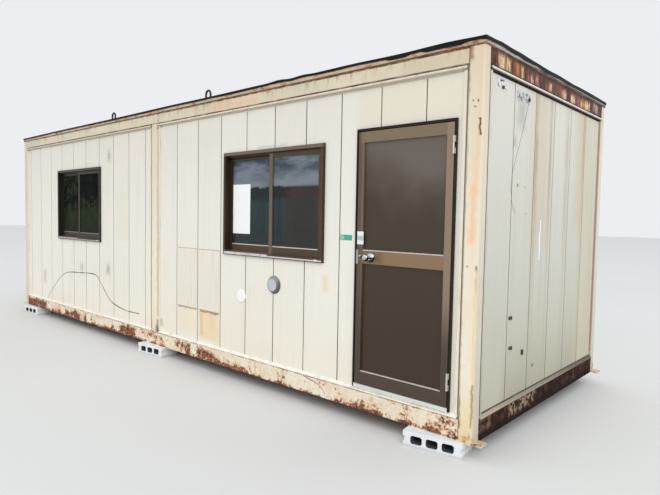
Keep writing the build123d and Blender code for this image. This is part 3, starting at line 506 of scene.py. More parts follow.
TALL_FLAMES, LIP_SHADOW_Z, FASCIA_FOOT = (1.0, 75.0, 9.0), (2.430, 2.456), (2.367, 2.363)
FLAMES = [
    (-1.060, -0.984, 2.340, 2.424, (52, 28, 25)),
    (-1.000, -0.890, 2.442, 2.470, (190, 100, 92)),
    (-0.978, -0.872, 2.355, 2.446, (236, 206, 164)),
    (-0.864, -0.804, 2.355, 2.444, (228, 194, 148)),
    (-0.764, -0.714, 2.368, 2.443, (190, 108, 64)),
    (-0.709, -0.667, 2.366, 2.448, (234, 160, 96)),
    (-0.648, -0.610, 2.370, 2.439, (240, 200, 144)),
    (-0.545, -0.480, 2.370, 2.416, (182, 90, 80)),
    (-0.487, -0.447, 2.371, 2.394, (246, 236, 232)),
    (-0.418, -0.361, 2.366, 2.416, (216, 138, 102)),
    (-0.229, -0.188, 2.369, 2.414, (140, 98, 72)),
    (-0.170, -0.114, 2.369, 2.419, (240, 206, 178)),
    (-0.100, 0.020, 2.366, 2.446, (92, 82, 70)),
    (0.030, 0.074, 2.377, 2.452, (160, 72, 58)),
    (0.083, 0.182, 2.370, 2.416, (238, 200, 168)),
    (0.283, 0.383, 2.364, 2.422, (244, 216, 168)),
    (0.410, 0.487, 2.364, 2.438, (170, 118, 122)),
    (0.505, 0.584, 2.364, 2.420, (232, 188, 138)),
    (0.613, 0.739, 2.364, 2.433, (238, 204, 150)),
    (0.827, 0.947, 2.380, 2.450, (238, 210, 198)),
]
SQUASH, MARGIN_SIDE, MARGIN_TOP = 0.35, 0.012, 0.02
flames = Finish("flame rusted fascia", Roughness=0.85)
blotch = flames.grain(60.0, 5.0, 0.7)
flames.lay(flames.ramp(blotch, [(0.35, (36, 25, 24)), (0.52, (72, 50, 44)), (0.66, (112, 78, 66))]))
stirred = flames.use(ragged_place, Position=flames.vector("MULTIPLY", flames.place, (1.0, 1.0, SQUASH)),
                     Scale=70.0, Reach=0.036)["Position"]
tongues = flames.span(flames.grain(1.0, 3.0, stretch=(1.0, 46.0, 6.0)), 0.38, 0.52, 0.25, 0.97)
for start, end, low, high, tint in FLAMES:
    low, high, above = low * SQUASH, high * SQUASH, (high + MARGIN_TOP) * SQUASH
    margin = end_box(
        flames, start - MARGIN_SIDE, end + MARGIN_SIDE, low, above, 0.012, stirred, END_BEAM_DEPTH)
    flames.coat(margin, (118, 62, 44), 0.60)
    flames.coat(end_box(flames, start, end, low, high, 0.009, stirred, END_BEAM_DEPTH), tint, tongues)
tall = flames.grain(1.0, 5.0, 0.65, TALL_FLAMES)
flames.coat(flames.span(tall, 0.50, 0.40, 0.0, 0.60), (96, 48, 38))
flames.coat(flames.span(tall, 0.56, 0.68, 0.0, 0.50), (206, 138, 104))
# Painted shadow under the roof lip along the top of the end fascia, broken where the tall rust runs.
lip_shadow = flames.times(flames.span(flames.z, *LIP_SHADOW_Z), flames.span(tall, 0.35, 0.60))
flames.coat(lip_shadow, (70, 38, 33), 0.85)
flames.coat(flames.span(flames.z, *FASCIA_FOOT), (36, 26, 24))
flames.bump(blotch, 0.003)
dress(flames, "left_roof_beam", "right_roof_beam")


# Walls: cream sheet-steel panels with a stippled coat, divided by pressed grooves, pale lining inside.
# The weather has left streaks, smudges, a curved cable trace and patches of a different cream.

def panel_tone(finish, place, pitch):
    """A random level for each panel of a pitch."""
    number = finish.math("FLOOR", finish.math("DIVIDE", place, pitch))
    return finish.node("TexWhiteNoise", {"W": number}, noise_dimensions="1D").outputs[0]


def groove_shade_and_dirt(finish, dark, pale):
    """The colour painted into the grooves, painted shade together with dirt, thick and thin by turns."""
    wear = finish.grain(1.0, stretch=(2.4, 2.4, 0.8))
    return finish.ramp(wear, [(0.36, dark), (0.50, (96, 80, 64)), (0.62, pale)])


LEFT_GROOVE, RIGHT_GROOVE, PANEL_PITCH = -0.2035, 0.3925, 0.352
GROOVE_DEPTH, LINING_Y, SLOT_Z, SPLASHED = (1.1372, 1.1350), 1.100, 2.323, (0.25, 0.50)
OVER_DOOR = (2.66, 3.50, 2.05, 2.34)
LINING = (214, 206, 190)
# Painted shade: the wall cream darkens towards the eaves and is lightest near the foot.
WALL_PAINTED_SHADE = [
    (0.25, (246, 239, 222)), (0.50, (241, 236, 221)), (0.80, (238, 235, 222)), (1.10, (237, 234, 221)),
    (1.50, (234, 231, 219)), (1.90, (229, 226, 213)), (2.25, (223, 219, 206)),
]
WALL_MARKS = [
    (-0.830, -0.577, 1.147, 1.677, 0.010, (230, 222, 196), 0.40),
    (-1.035, -0.995, 2.06, 2.16, 0.065, (172, 166, 152), 0.75),
    (-1.025, -1.000, 2.08, 2.13, 0.020, (126, 116, 104), 0.60),
    (-1.070, -1.020, 0.76, 0.84, 0.070, (168, 158, 140), 0.80),
    (-1.060, -1.040, 0.77, 0.80, 0.018, (110, 100, 86), 0.60),
    (-1.760, -1.714, 0.73, 0.80, 0.070, (170, 160, 140), 0.70),
    (-2.930, -2.886, 0.50, 0.63, 0.080, (172, 160, 142), 0.70),
    (0.092, 0.128, 0.32, 0.37, 0.030, (136, 140, 122), 0.70),
    (1.593, 1.940, 1.992, 2.020, 0.015, (206, 208, 210), 0.80),
    (2.350, 2.400, 0.908, 1.020, 0.030, (234, 208, 158), 0.55),
    (0.430, 0.722, 0.330, 0.556, 0.060, (242, 226, 194), 0.50),
    (0.780, 1.070, 0.290, 0.556, 0.030, (240, 217, 174), 0.80),
    (0.786, 0.830, 0.330, 0.556, 0.020, (230, 182, 122), 0.60),
    (0.930, 0.990, 0.400, 0.556, 0.030, (236, 204, 152), 0.40),
    (0.780, 1.070, 0.543, 0.560, 0.006, (170, 112, 70), 0.85),
    (0.420, 0.722, 0.546, 0.560, 0.005, (180, 130, 90), 0.60),
]
walls = Finish("cream panel coat", Roughness=0.55)
right_bay = walls.math("GREATER_THAN", walls.x, 0.0)
start = walls.math("MULTIPLY_ADD", right_bay, RIGHT_GROOVE - LEFT_GROOVE, LEFT_GROOVE)
walls.lay(walls.ramp(walls.z, WALL_PAINTED_SHADE))
walls.coat(panel_tone(walls, walls.math("SUBTRACT", walls.x, start), PANEL_PITCH), (246, 241, 228), 0.30)
walls.coat(walls.span(walls.grain(0.9), 0.45, 0.70), (238, 226, 210), 0.45)
walls.coat(streaks(walls, 22.0, 0.9), (206, 198, 178), 0.16)
walls.coat(front_box(walls, *OVER_DOOR, 0.03), (228, 219, 200), 0.8)
walls.coat(walls.span(walls.z, *SPLASHED, 0.10, 0.0), (176, 160, 132), walls.grain(6.0))
mark(walls, WALL_MARKS)
depth = walls.math("ABSOLUTE", walls.y)
below_slot = walls.math("LESS_THAN", walls.z, SLOT_Z)
# Painted shade together with dirt in the grooves, below the head slot.
walls.coat(walls.span(depth, *GROOVE_DEPTH), groove_shade_and_dirt(walls, (54, 42, 32), (150, 136, 114)), below_slot)
walls.coat(walls.math("LESS_THAN", depth, LINING_Y), LINING)
walls.bump(walls.grain(260.0, 2.0), 0.0007)
dress(walls, "front_wall_left_bay", "front_wall_right_bay", "front_wall_over_door",
      "front_wall_beside_door", "back_wall_left_bay", "back_wall_right_bay", "door_step")

END_PANEL_PITCH, END_GROOVE_DEPTH, END_LINING_X = 0.35, (3.5872, 3.5850), 3.550
FOOT_LINE, HEAD_SHADOW_LINE, YELLOWED_Y = (0.268, 0.263), (2.322, 2.325), (0.45, 0.85)
END_RUNS = [(-0.321, 0.030, 0.80), (-0.059, 0.022, 0.75), (0.280, 0.030, 0.60), (0.665, 0.020, 0.80)]
TAN_BANDS = [(-0.380, -0.080, 1.30, 2.40, 0.14), (0.480, 0.700, 1.40, 2.40, 0.10)]
TORN_SPOTS = [(-0.96, -0.82, 2.255, 2.31), (-0.67, -0.45, 2.225, 2.285)]
END_MARKS = [
    (-0.969, -0.810, 2.260, 2.313, 0.012, (232, 232, 228), 0.6),
    (-0.677, -0.462, 2.222, 2.290, 0.012, (206, 206, 202), 0.9),
    (-0.650, -0.520, 2.06, 2.24, 0.060, (176, 176, 168), 0.7),
    (-0.622, -0.606, 1.670, 1.692, 0.008, (50, 46, 42), 0.9),
    (-0.496, -0.488, 1.668, 1.680, 0.005, (60, 56, 50), 0.9),
    (-0.463, -0.455, 1.488, 1.498, 0.005, (60, 56, 50), 0.9),
    (-0.268, -0.235, 0.405, 0.425, 0.006, (90, 84, 74), 0.8),
    (-0.700, -0.656, 1.925, 1.985, 0.030, (176, 176, 168), 0.7),
]
# Painted shade: the end walls are a darker, greyer copy of the front's cream, darkest towards the foot,
# where the darkening is painted shade together with grime.
END_PAINTED_SHADE = [
    (0.25, (172, 168, 148)), (0.40, (180, 177, 158)), (0.60, (192, 190, 173)), (0.90, (201, 200, 185)),
    (1.20, (206, 206, 193)), (1.50, (211, 209, 197)), (1.80, (215, 214, 203)), (2.10, (220, 218, 207)),
]
ends = Finish("end panel coat", Roughness=0.55)
ends.lay(ends.ramp(ends.z, END_PAINTED_SHADE))
ends.coat(panel_tone(ends, ends.y, END_PANEL_PITCH), (230, 226, 212), 0.15)
# Lighter towards the foot near the front corner, easing the painted shade and grime there.
ends.coat(ends.span(ends.y, -0.70, -0.80), (206, 202, 186), ends.span(ends.z, 0.80, 0.40, 0.0, 0.45))
ends.coat(ends.span(ends.y, *YELLOWED_Y, 0.0, 0.6), (208, 198, 170))
ends.coat(streaks(ends, 24.0, 0.5), (184, 172, 138), ends.span(ends.y, -0.80, -0.30, 0.12, 0.30))
for band in TAN_BANDS:
    ends.coat(end_box(ends, *band), (202, 182, 144), 0.40)
broken = ends.span(ends.grain(1.0, 4.0, stretch=(1.0, 40.0, 3.0)), 0.25, 0.6)
for y, width, strength in END_RUNS:
    fade = ends.span(ends.z, 0.8, 2.2, 0.15, strength)
    line = ends.times(end_box(ends, y - width, y + width, 0.2, 2.4, width), fade)
    ends.coat(line, (176, 146, 108), broken)
mark(ends, END_MARKS, end_box)
specks = ends.span(ends.grain(48.0, 4.0, 0.75), 0.53, 0.57)
for spot in TORN_SPOTS:
    ends.coat(end_box(ends, *spot), (40, 38, 36), specks)
depth = ends.math("ABSOLUTE", ends.x)
# Painted shade together with dirt in the end walls' grooves.
ends.coat(ends.span(depth, *END_GROOVE_DEPTH), groove_shade_and_dirt(ends, (66, 54, 42), (134, 122, 100)))
ends.coat(ends.span(ends.z, *FOOT_LINE), (70, 58, 48))
# Painted shadow: a dark line on the wall just under the head strip.
ends.coat(ends.span(ends.z, *HEAD_SHADOW_LINE), (66, 52, 46))
ends.coat(ends.math("LESS_THAN", depth, END_LINING_X), LINING)
ends.bump(ends.grain(260.0, 2.0), 0.0007)
dress(ends, "left_end_wall", "right_end_wall")


# Traces and patches on the walls: a dried cable trace in a low arch, a thin dark line down the end wall,
# two cover sheets over old openings, metal clips and a taped strip.

def mesh_of(work, smooth=None):
    """Turn worked faces into a mesh, smooth across edges that bend less than an angle."""
    bmesh.ops.recalc_face_normals(work, faces=work.faces)
    if smooth:
        for face in work.faces:
            face.smooth = True
        for edge in work.edges:
            edge.smooth = len(edge.link_faces) == 2 and edge.calc_face_angle() < math.radians(smooth)
    mesh = bpy.data.meshes.new("skin")
    work.to_mesh(mesh)
    work.free()
    return mesh


def add_piece(name, mesh, finish, body="cabin"):
    """Show a mesh as a piece that moves with a body of the frame."""
    mesh.name = name
    mesh.materials.append(finish.material)
    piece = bpy.data.objects.new(name, mesh)
    bpy.context.collection.objects.link(piece)
    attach(piece, body)
    return piece


def add_skin(work, rows):
    """Join rows of points, each a closed loop, into a skin with flat ends."""
    for near, far in zip(rows, rows[1:]):
        for k in range(len(near)):
            after = (k + 1) % len(near)
            work.faces.new((near[k], near[after], far[after], far[k]))
    work.faces.new(rows[0])
    work.faces.new(rows[-1])


CURVE_STEPS = 10


def trace_mesh(points, width, out, thick=0.0008):
    """A thin uneven band that follows points on a wall, standing off it along out."""
    out = Vector(out)
    line = []
    knots = [Vector(point) for point in (points[0], *points, points[-1])]
    for p0, p1, p2, p3 in zip(knots, knots[1:], knots[2:], knots[3:]):
        for step in range(CURVE_STEPS):
            t = step / CURVE_STEPS
            line.append(0.5 * (2 * p1 + (p2 - p0) * t + (2 * p0 - 5 * p1 + 4 * p2 - p3) * t * t
                               + (3 * p1 - p0 - 3 * p2 + p3) * t ** 3))
    work = bmesh.new()
    rows = []
    for index, spot in enumerate(line):
        ahead = line[min(index + 1, len(line) - 1)] - line[max(index - 1, 0)]
        across = ahead.cross(out).normalized() * width * (0.5 + 0.35 * noise.noise(spot * 9.0))
        rows.append([work.verts.new(spot + across * side + out * lift)
                     for side, lift in ((-1, 0.0), (-0.5, thick), (0.5, thick), (1, 0.0))])
    add_skin(work, rows)
    return mesh_of(work)


WALL_FACE_Y, END_FACE_X = -1.138, 3.588
BEAM_FACE_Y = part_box("front_floor_beam")[0].y
ARCH = [(-2.821, 0.245), (-2.782, 0.300), (-2.620, 0.430), (-2.406, 0.577), (-2.183, 0.669), (-1.780, 0.700),
        (-1.382, 0.709), (-1.240, 0.630), (-1.076, 0.495), (-0.929, 0.418), (-0.649, 0.372), (-0.320, 0.371)]
THIN_LINE = [(-0.480, 2.248), (-0.560, 2.045), (-0.640, 1.880), (-0.705, 1.739), (-0.712, 1.643),
             (-0.690, 1.560), (-0.637, 1.490)]
BEAM_LINE = [(2.167, 0.226), (2.229, 0.212), (2.319, 0.193), (2.379, 0.158), (2.401, 0.125)]
trace = plain_finish("dried brown trace", (138, 116, 92), (84, 66, 52), 25.0, (150.0, 0.0003), Roughness=0.8)
trace.coat(trace.span(trace.x, -1.6, -2.6, 0.0, 0.45), (206, 192, 168))
add_piece("arched_trace", trace_mesh([(x, WALL_FACE_Y, z) for x, z in ARCH], 0.010, (0, -1, 0)), trace)
orange = plain_finish("orange run", (186, 122, 78), (142, 92, 64), 25.0, (150.0, 0.0003), Roughness=0.8)
add_piece("beam_trace", trace_mesh([(x, BEAM_FACE_Y, z) for x, z in BEAM_LINE], 0.008, (0, -1, 0)), orange)
dark = plain_finish("dark thin line", (110, 104, 94), (160, 152, 138), 40.0, (150.0, 0.0003), Roughness=0.6)
add_piece("end_wall_line", trace_mesh(
    [(END_FACE_X, y, z) for y, z in THIN_LINE], 0.004, (1, 0, 0), 0.0015), dark)


def sheet_mesh(corner, along, up, thick, steps, lift):
    """A thin sheet from its lowest left corner, standing off its seat by a lift that may vary."""
    corner, along, up = Vector(corner), Vector(along), Vector(up)
    out = along.cross(up).normalized()
    work = bmesh.new()
    layers = []
    for side in (0, 1):
        rows = []
        for j in range(steps[1] + 1):
            row = []
            for i in range(steps[0] + 1):
                s, t = i / steps[0], j / steps[1]
                off = (lift(s, t) if lift else 0.0) + side * thick
                row.append(work.verts.new(corner + along * s + up * t + out * off))
            rows.append(row)
        layers.append(rows)
    back, front = layers
    for j in range(steps[1]):
        for i in range(steps[0]):
            work.faces.new((front[j][i], front[j][i + 1], front[j + 1][i + 1], front[j + 1][i]))
            work.faces.new((back[j][i], back[j + 1][i], back[j + 1][i + 1], back[j][i + 1]))
    rim = [(0, i) for i in range(steps[0])] + [(j, steps[0]) for j in range(steps[1])]
    rim += [(steps[1], i) for i in range(steps[0], 0, -1)] + [(j, 0) for j in range(steps[1], 0, -1)]
    for (j0, i0), (j1, i1) in zip(rim, rim[1:] + rim[:1]):
        work.faces.new((back[j0][i0], back[j1][i1], front[j1][i1], front[j0][i0]))
    return mesh_of(work)


def front_sheet(x, y, z, width, height, thick, steps=(12, 12), lift=None):
    """A thin upright sheet that faces the front, from its lowest left corner."""
    return sheet_mesh((x, y, z), (width, 0, 0), (0, 0, height), thick, steps, lift)


COVER_SHEETS = [("left_cover_sheet", 0.412, 0.736), ("right_cover_sheet", 0.764, 1.088)]
SHEET_BASE, SHEET_TOP, SHEET_THICK, SHEET_BOW = 0.558, 1.131, 0.002, 0.0012
patches = plain_finish("patch paint", (232, 228, 214), (238, 232, 216), 2.0, Roughness=0.5)
patches.coat(streaks(patches, 30.0, 2.0), (214, 188, 150), 0.35)
patches.coat(patches.span(patches.z, SHEET_BASE + 0.012, SHEET_BASE + 0.002), (150, 96, 60), 0.75)
patches.coat(patches.span(patches.z, SHEET_TOP - 0.010, SHEET_TOP - 0.002), (156, 128, 106), 0.7)
patches.bump(patches.grain(260.0, 2.0), 0.0006)
for name, x0, x1 in COVER_SHEETS:
    add_piece(name, front_sheet(
        x0, WALL_FACE_Y, SHEET_BASE, x1 - x0, SHEET_TOP - SHEET_BASE, SHEET_THICK,
        lift=lambda s, t: SHEET_BOW * math.sin(math.pi * s) * (1 - t)), patches)


def clip_mesh(y, z, width, height, depth, thick=0.002):
    """A bent saddle clip: two feet on the end wall and a raised middle."""
    profile = [(-1.0, 0.0), (-0.55, 0.0), (-0.40, 0.7), (-0.15, 1.0), (0.15, 1.0), (0.40, 0.7), (0.55, 0.0),
               (1.0, 0.0)]
    work = bmesh.new()
    rows = []
    for across, rise in profile:
        top = [(END_FACE_X + depth * rise + thick, y + across * width / 2, z + side * height / 2)
               for side in (-1, 1)]
        under = [(x - thick, v, w) for x, v, w in top]
        rows.append([work.verts.new(spot) for spot in (top[0], top[1], under[1], under[0])])
    add_skin(work, rows)
    return mesh_of(work)


CLIPS = [(-0.655, 0.805, 0.050, 0.020, 0.012), (-0.638, 0.602, 0.050, 0.020, 0.012),
         (-0.446, 0.542, 0.030, 0.034, 0.010), (-0.480, 2.252, 0.026, 0.020, 0.009),
         (-0.880, 2.262, 0.030, 0.018, 0.009)]
clip_steel = plain_finish(
    "blackened clip steel", (46, 42, 38), (96, 88, 78), 90.0, (200.0, 0.0004), Roughness=0.6, Metallic=0.4)
for number, sizes in enumerate(CLIPS, 1):
    add_piece(f"wall_clip_{number}", clip_mesh(*sizes), clip_steel)

tape = plain_finish("white tape", (240, 242, 244), (250, 250, 252), 20.0, (120.0, 0.0003), Roughness=0.6)
add_piece("taped_strip", sheet_mesh(
    corner=(END_FACE_X, -0.217, 1.168), along=(0, 0.019, 0), up=(0, 0.008, 0.287), thick=0.0015,
    steps=(4, 16), lift=lambda s, t: 0.001 * math.sin(9 * t)), tape)


# Strips: folded sheet-steel trims round each wall, a sloped ledge at the base, a lip at the head and
# narrow strips beside the posts.

# Painted shade: the strips' cream darkens towards the top, and the head strips darken to their lower edge.
STRIP_PAINTED_SHADE = [(0.235, (242, 237, 221)), (0.50, (240, 234, 216)), (1.50, (231, 224, 206)),
                (2.30, (225, 215, 196))]
HEAD_PAINTED_SHADE = [(2.336, (172, 150, 124)), (2.3415, (206, 189, 165)), (2.346, (224, 211, 191)),
               (2.354, (232, 221, 203))]
# Painted shadow along the foot of the end's head strip.
END_HEAD_PAINTED_SHADE = [(2.336, (96, 80, 74)), (2.340, (150, 136, 130)), (2.3435, (164, 150, 144)),
                   (2.346, (232, 226, 218)), (2.354, (236, 230, 222))]
END_LEDGE_SHADES = [(-1.05, (190, 178, 158)), (-0.60, (164, 155, 140)), (0.20, (142, 136, 124)),
                    (0.70, (104, 96, 80)), (1.05, (108, 99, 82))]
FRONT_JOINTS = [(3.489, 3.4985, (84, 68, 50), 0.8), (0.064, 0.073, (140, 112, 86), 0.7),
                (-0.073, -0.064, (110, 88, 68), 0.7)]
CORNER_JOINT, FAR_TRIM = (-1.080, -1.066), (0.96, 1.10, 0.3, 2.33)
JOINT_Z, JOINT_SOFT, HEAD_STRIP_Z, END_STRIP_X = (0.20, 2.36), 0.0015, 2.330, 3.586
LEDGE_TOP, END_LEDGE_TOP, LEDGE_CRUST = (0.262, 0.256), (0.262, 0.258), (0.250, 0.256)
strips = Finish("cream strip paint")
strips.lay(strips.mix(strips.grain(3.0), strips.ramp(strips.z, STRIP_PAINTED_SHADE), (236, 222, 200)))
# Painted highlight along the top of the base ledge.
strips.coat(strips.span(strips.z, *LEDGE_TOP), (250, 247, 236))
at_head = strips.math("GREATER_THAN", strips.z, HEAD_STRIP_Z)
head_tone = strips.mix(
    strips.span(strips.x, 0.0, -0.1, 0.0, 0.5), strips.ramp(strips.z, HEAD_PAINTED_SHADE), (190, 170, 148))
strips.coat(at_head, head_tone)
caked = strips.span(strips.grain(1.0, 4.0, stretch=(1.0, 9.0, 1.0)), 0.30, 0.60, 0.40, 0.95)
caked = strips.times(strips.span(strips.z, *LEDGE_CRUST), caked)
dirty_ledge = strips.mix(caked, strips.ramp(strips.y, END_LEDGE_SHADES), (78, 68, 54))
# On the end the strips take the end walls' painted shade and the head strip's painted shadow.
end_tone = strips.mix(at_head, strips.ramp(strips.z, END_PAINTED_SHADE), strips.ramp(strips.z, END_HEAD_PAINTED_SHADE))
end_tone = strips.mix(strips.span(strips.z, *END_LEDGE_TOP), end_tone, dirty_ledge)
strips.coat(strips.math("GREATER_THAN", strips.math("ABSOLUTE", strips.x), END_STRIP_X), end_tone)
for x0, x1, tint, strength in FRONT_JOINTS:
    strips.coat(front_box(strips, x0, x1, *JOINT_Z, JOINT_SOFT, depth=(-1.2, -1.1)), tint, strength)
corner_joint = end_box(strips, *CORNER_JOINT, *JOINT_Z, JOINT_SOFT, depth=(3.58, 3.70))
strips.coat(corner_joint, (92, 80, 62), 0.8)
strips.coat(streaks(strips, 30.0, 5.0), (170, 140, 108), 0.35)
far_trim = end_box(strips, *FAR_TRIM, 0.004)
strips.coat(far_trim, (164, 136, 128))
amount = strips.math("MULTIPLY_ADD", far_trim, 0.07, strips.span(strips.z, 0.24, 0.5, 0.30, 0.28))
weathered_steel(strips, amount, RUST_STAIN)
dress(strips, "head_strips", "base_strips", "side_strips")


# Windows: bronze aluminium frames with two sliding sashes each, grey dust on the ledges, and panes
# that hold a painted reflection of cloud above dark ground. A sheet of paper is taped to one pane.

WINDOWS, WINDOW_SHINE = ("left_window", "right_window"), ((-1.814, 0.10), (1.754, 0.45))
bronze = Finish("bronze aluminium", Metallic=0.25, Roughness=0.45, Specular_IOR_Level=0.25)
bronze.lay(bronze.mix(bronze.grain(8.0, stretch=(1.0, 1.0, 3.0)), (70, 56, 38), (90, 74, 53)))
# Painted highlight along the head lip of each frame.
bronze.coat(bronze.span(bronze.z, 1.960, 1.966, 0.0, 0.6), (132, 116, 102))
# Noise that breaks up the pale track, a painted sheen together with dust.
dust_and_sheen = bronze.span(bronze.grain(30.0, 4.0), 0.30, 0.60, 0.6, 1.0)
# Painted light and shade at each window: a highlight on the meeting stile, shade in the left reveal, under
# the head and on the right jamb, a pale track of painted sheen together with dust with a shaded band above
# it, and a highlight along the sill of the right half.
for middle, shine in WINDOW_SHINE:
    window_light_and_shade = [
        (-0.020, 0.020, 1.14, 1.956, 0.002, (-1.2, -1.1), (136, 120, 106), shine),
        (-0.620, -0.526, 1.11, 1.964, 0.003, (-1.157, -1.0), (42, 31, 25), 0.75),
        (-0.59, -0.02, 1.930, 1.966, 0.004, (-1.120, -1.0), (34, 26, 22), 0.8),
        (-0.588, -0.012, 1.112, 1.133, 0.002, (-1.2, -1.112), (222, 212, 210), dust_and_sheen),
        (-0.588, -0.012, 1.133, 1.152, 0.002, (-1.2, -1.112), (108, 94, 92), 0.6),
        (0.591, 0.61, 1.10, 2.0, 0.002, (-1.2, -1.0), (44, 33, 28), 0.7),
        (-0.012, 0.590, 1.113, 1.123, 0.002, (-1.2, -1.15), (232, 226, 222), 0.85),
    ]
    for x0, x1, z0, z1, soft, depth, tint, strength in window_light_and_shade:
        bronze.coat(front_box(bronze, middle + x0, middle + x1, z0, z1, soft, depth=depth), tint, strength)
# Painted shade along the foot of the frames, under the ledge.
bronze.coat(bronze.span(bronze.z, 1.1125, 1.1105, 0.0, 0.85), (66, 54, 48))
upward = bronze.split(bronze.node("NewGeometry").outputs["Normal"])[2]
bronze.coat(bronze.span(upward, 0.4, 0.9), (176, 160, 148), bronze.grain(40.0))
# Painted shade: the left window's frame is a darker copy of the bronze.
left_window_shade = bronze.span(bronze.z, 1.120, 1.160, 0.35, 0.70)
bronze.coat(bronze.span(bronze.x, 0.0, -0.1), (38, 34, 24), left_window_shade)
bronze.bump(bronze.grain(500.0), 0.0001)
dress(bronze, *[f"{window}_{part}" for window in WINDOWS
                for part in ("frame", "jambs", "outer_sash", "inner_sash")])

# Painted reflection: the right window's panes carry painted cloud and hazy sky above dark ground, a paler
# stretch of ground, treetops and a roof.
REFLECTED_CLOUD_FOOT, REFLECTED_HAZE_Z, YARD_X, YARD_Z = (1.675, 1.695), (1.88, 1.71), (1.86, 1.96), (1.36, 1.24)
CROWN_X, CROWN_Z, REFLECTED_ROOF_LINE = (2.00, 1.90), (1.57, 1.61), (1.92, 2.40, 1.615, 1.657)
glass = Finish("dusty glass", Roughness=0.08, Transmission_Weight=0.35, IOR=1.45, Specular_IOR_Level=0.12)
wander = glass.split(glass.use(ragged_place, Position=glass.place, Scale=13.0, Reach=0.11)["Position"])
steady = glass.math("SUBTRACT", glass.z, wander[2])
height = glass.math("MULTIPLY_ADD", steady, glass.span(glass.x, 1.88, 1.93), wander[2])
reflected_clouds = glass.grain(1.0, 6.0, 0.62, (2.6, 2.6, 9.0))
reflection_tone = glass.grain(1.0, 4.0, stretch=(22.0, 22.0, 1.2))
glass.lay(glass.mix(reflection_tone, (22, 34, 36), (62, 80, 82)))
reflected_yard = glass.mix(reflection_tone, (40, 38, 36), (78, 72, 66))
glass.coat(glass.span(wander[0], *YARD_X, 0.0, 0.85), reflected_yard)
glass.coat(glass.span(height, *YARD_Z, 0.0, 0.6), (58, 60, 58))
reflected_crowns = glass.times(glass.span(height, *CROWN_Z), glass.span(wander[0], *CROWN_X))
glass.coat(reflected_crowns, (24, 32, 30), 0.85)
glass.coat(front_box(glass, *REFLECTED_ROOF_LINE, 0.006), (84, 44, 42), 0.7)
upper = glass.mix(glass.span(reflected_clouds, 0.38, 0.62), (66, 78, 90), (136, 148, 160))
upper = glass.mix(glass.span(height, *REFLECTED_HAZE_Z, 0.0, 0.60), upper, (152, 158, 166))
glass.coat(glass.span(height, *REFLECTED_CLOUD_FOOT), upper)
dress(glass, "right_window_panes")

SHRUBS_Z, GRAVEL_Z, TRUNK_X, TRUNK_Z = (1.55, 1.46), (1.34, 1.26), (-1.83, -1.78), (1.58, 1.68)
leafy = Finish("glass that mirrors leaves", Roughness=0.10, Transmission_Weight=0.06, IOR=1.45,
               Specular_IOR_Level=0.0)
leafy.lay(leafy.mix(leafy.span(leafy.grain(9.0, 8.0, 0.8), 0.40, 0.68), (10, 14, 11), (52, 60, 44)))
height = leafy.split(leafy.use(ragged_place, Position=leafy.place, Scale=5.0, Reach=0.22)["Position"])[2]
leafy.coat(leafy.span(height, *SHRUBS_Z, 0.0, 0.75), (42, 53, 33))
leafy.coat(leafy.span(height, *GRAVEL_Z, 0.0, 0.7), (46, 48, 46))
dark_tree = leafy.times(leafy.span(leafy.x, *TRUNK_X), leafy.span(height, *TRUNK_Z))
leafy.coat(dark_tree, (12, 15, 15), 0.75)
leafy.coat(leafy.span(leafy.grain(26.0, 3.0, 0.6), 0.70, 0.76), (150, 162, 150), 0.5)
dress(leafy, "left_window_panes")

# Painted highlight: the glazing beads are coloured as the pale highlight along the rail tops, darker on the
# left window as painted shade.
highlight_bead_metal = plain_finish(
    "bright bead", (206, 196, 188), (238, 230, 224), 12.0, (300.0, 0.0001), Metallic=0.2, Roughness=0.3)
highlight_bead_metal.coat(highlight_bead_metal.span(highlight_bead_metal.x, 0.0, -0.1, 0.0, 0.7), (112, 108, 96))
cap_plastic = plain_finish(
    "white sill cap", (228, 226, 220), (246, 245, 241), 60.0, (150.0, 0.0002), Roughness=0.5)


BEAD_STEPS = 6


def bead_mesh(x0, x1, z, rise, front, back):
    """A glazing bead on top of a rail: a slim wedge that slopes down to the front."""
    section = [(front, z), (front + 0.001, z + rise * 0.45), (back, z + rise), (back, z)]
    work = bmesh.new()
    add_skin(work, [[work.verts.new((x0 + (x1 - x0) * step / BEAD_STEPS, y, w)) for y, w in section]
                    for step in range(BEAD_STEPS + 1)])
    return mesh_of(work)


PANE_FOOT, STILE, BEAD_RISE, BEAD_FRONT, BEAD_BACK = 1.198, 0.040, 0.007, 0.001, 0.0095
CAP_Z, CAP_START, CAP_END, CAP_PROUD = 1.120, 0.090, 0.054, 0.003
for window in WINDOWS:
    for sash in ("outer", "inner"):
        low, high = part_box(f"{window}_{sash}_sash")
        add_piece(f"{window}_{sash}_bead", bead_mesh(
            low.x + STILE, high.x - STILE, PANE_FOOT, BEAD_RISE, low.y + BEAD_FRONT, low.y + BEAD_BACK),
            highlight_bead_metal)
for window in WINDOWS:
    low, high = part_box(f"{window}_frame")
    add_piece(f"{window}_sill_cap", bead_mesh(
        high.x - CAP_START, high.x - CAP_END, CAP_Z, BEAD_RISE, low.y - CAP_PROUD, low.y), cap_plastic)

INNER_PANE_FACE, PAPER_OFF, PAPER_THICK = -1.0985, 0.0003, 0.0004
paper = plain_finish("white paper", (240, 243, 244), (250, 251, 251), 30.0, (30.0, 0.0006), Roughness=0.8)
add_piece("taped_paper", front_sheet(
    1.197, INNER_PANE_FACE - PAPER_OFF, 1.292, width=0.257, height=0.424, thick=PAPER_THICK,
    lift=lambda s, t: 0.0012 * (1 - t) * s * s), paper)


# Door: a bronze aluminium frame over a grey sill, a leaf of bronze rails with satin brown panels, hung
# on two hinges, with a chrome knob, a lock plate and a few stuck-on plates round the lock.

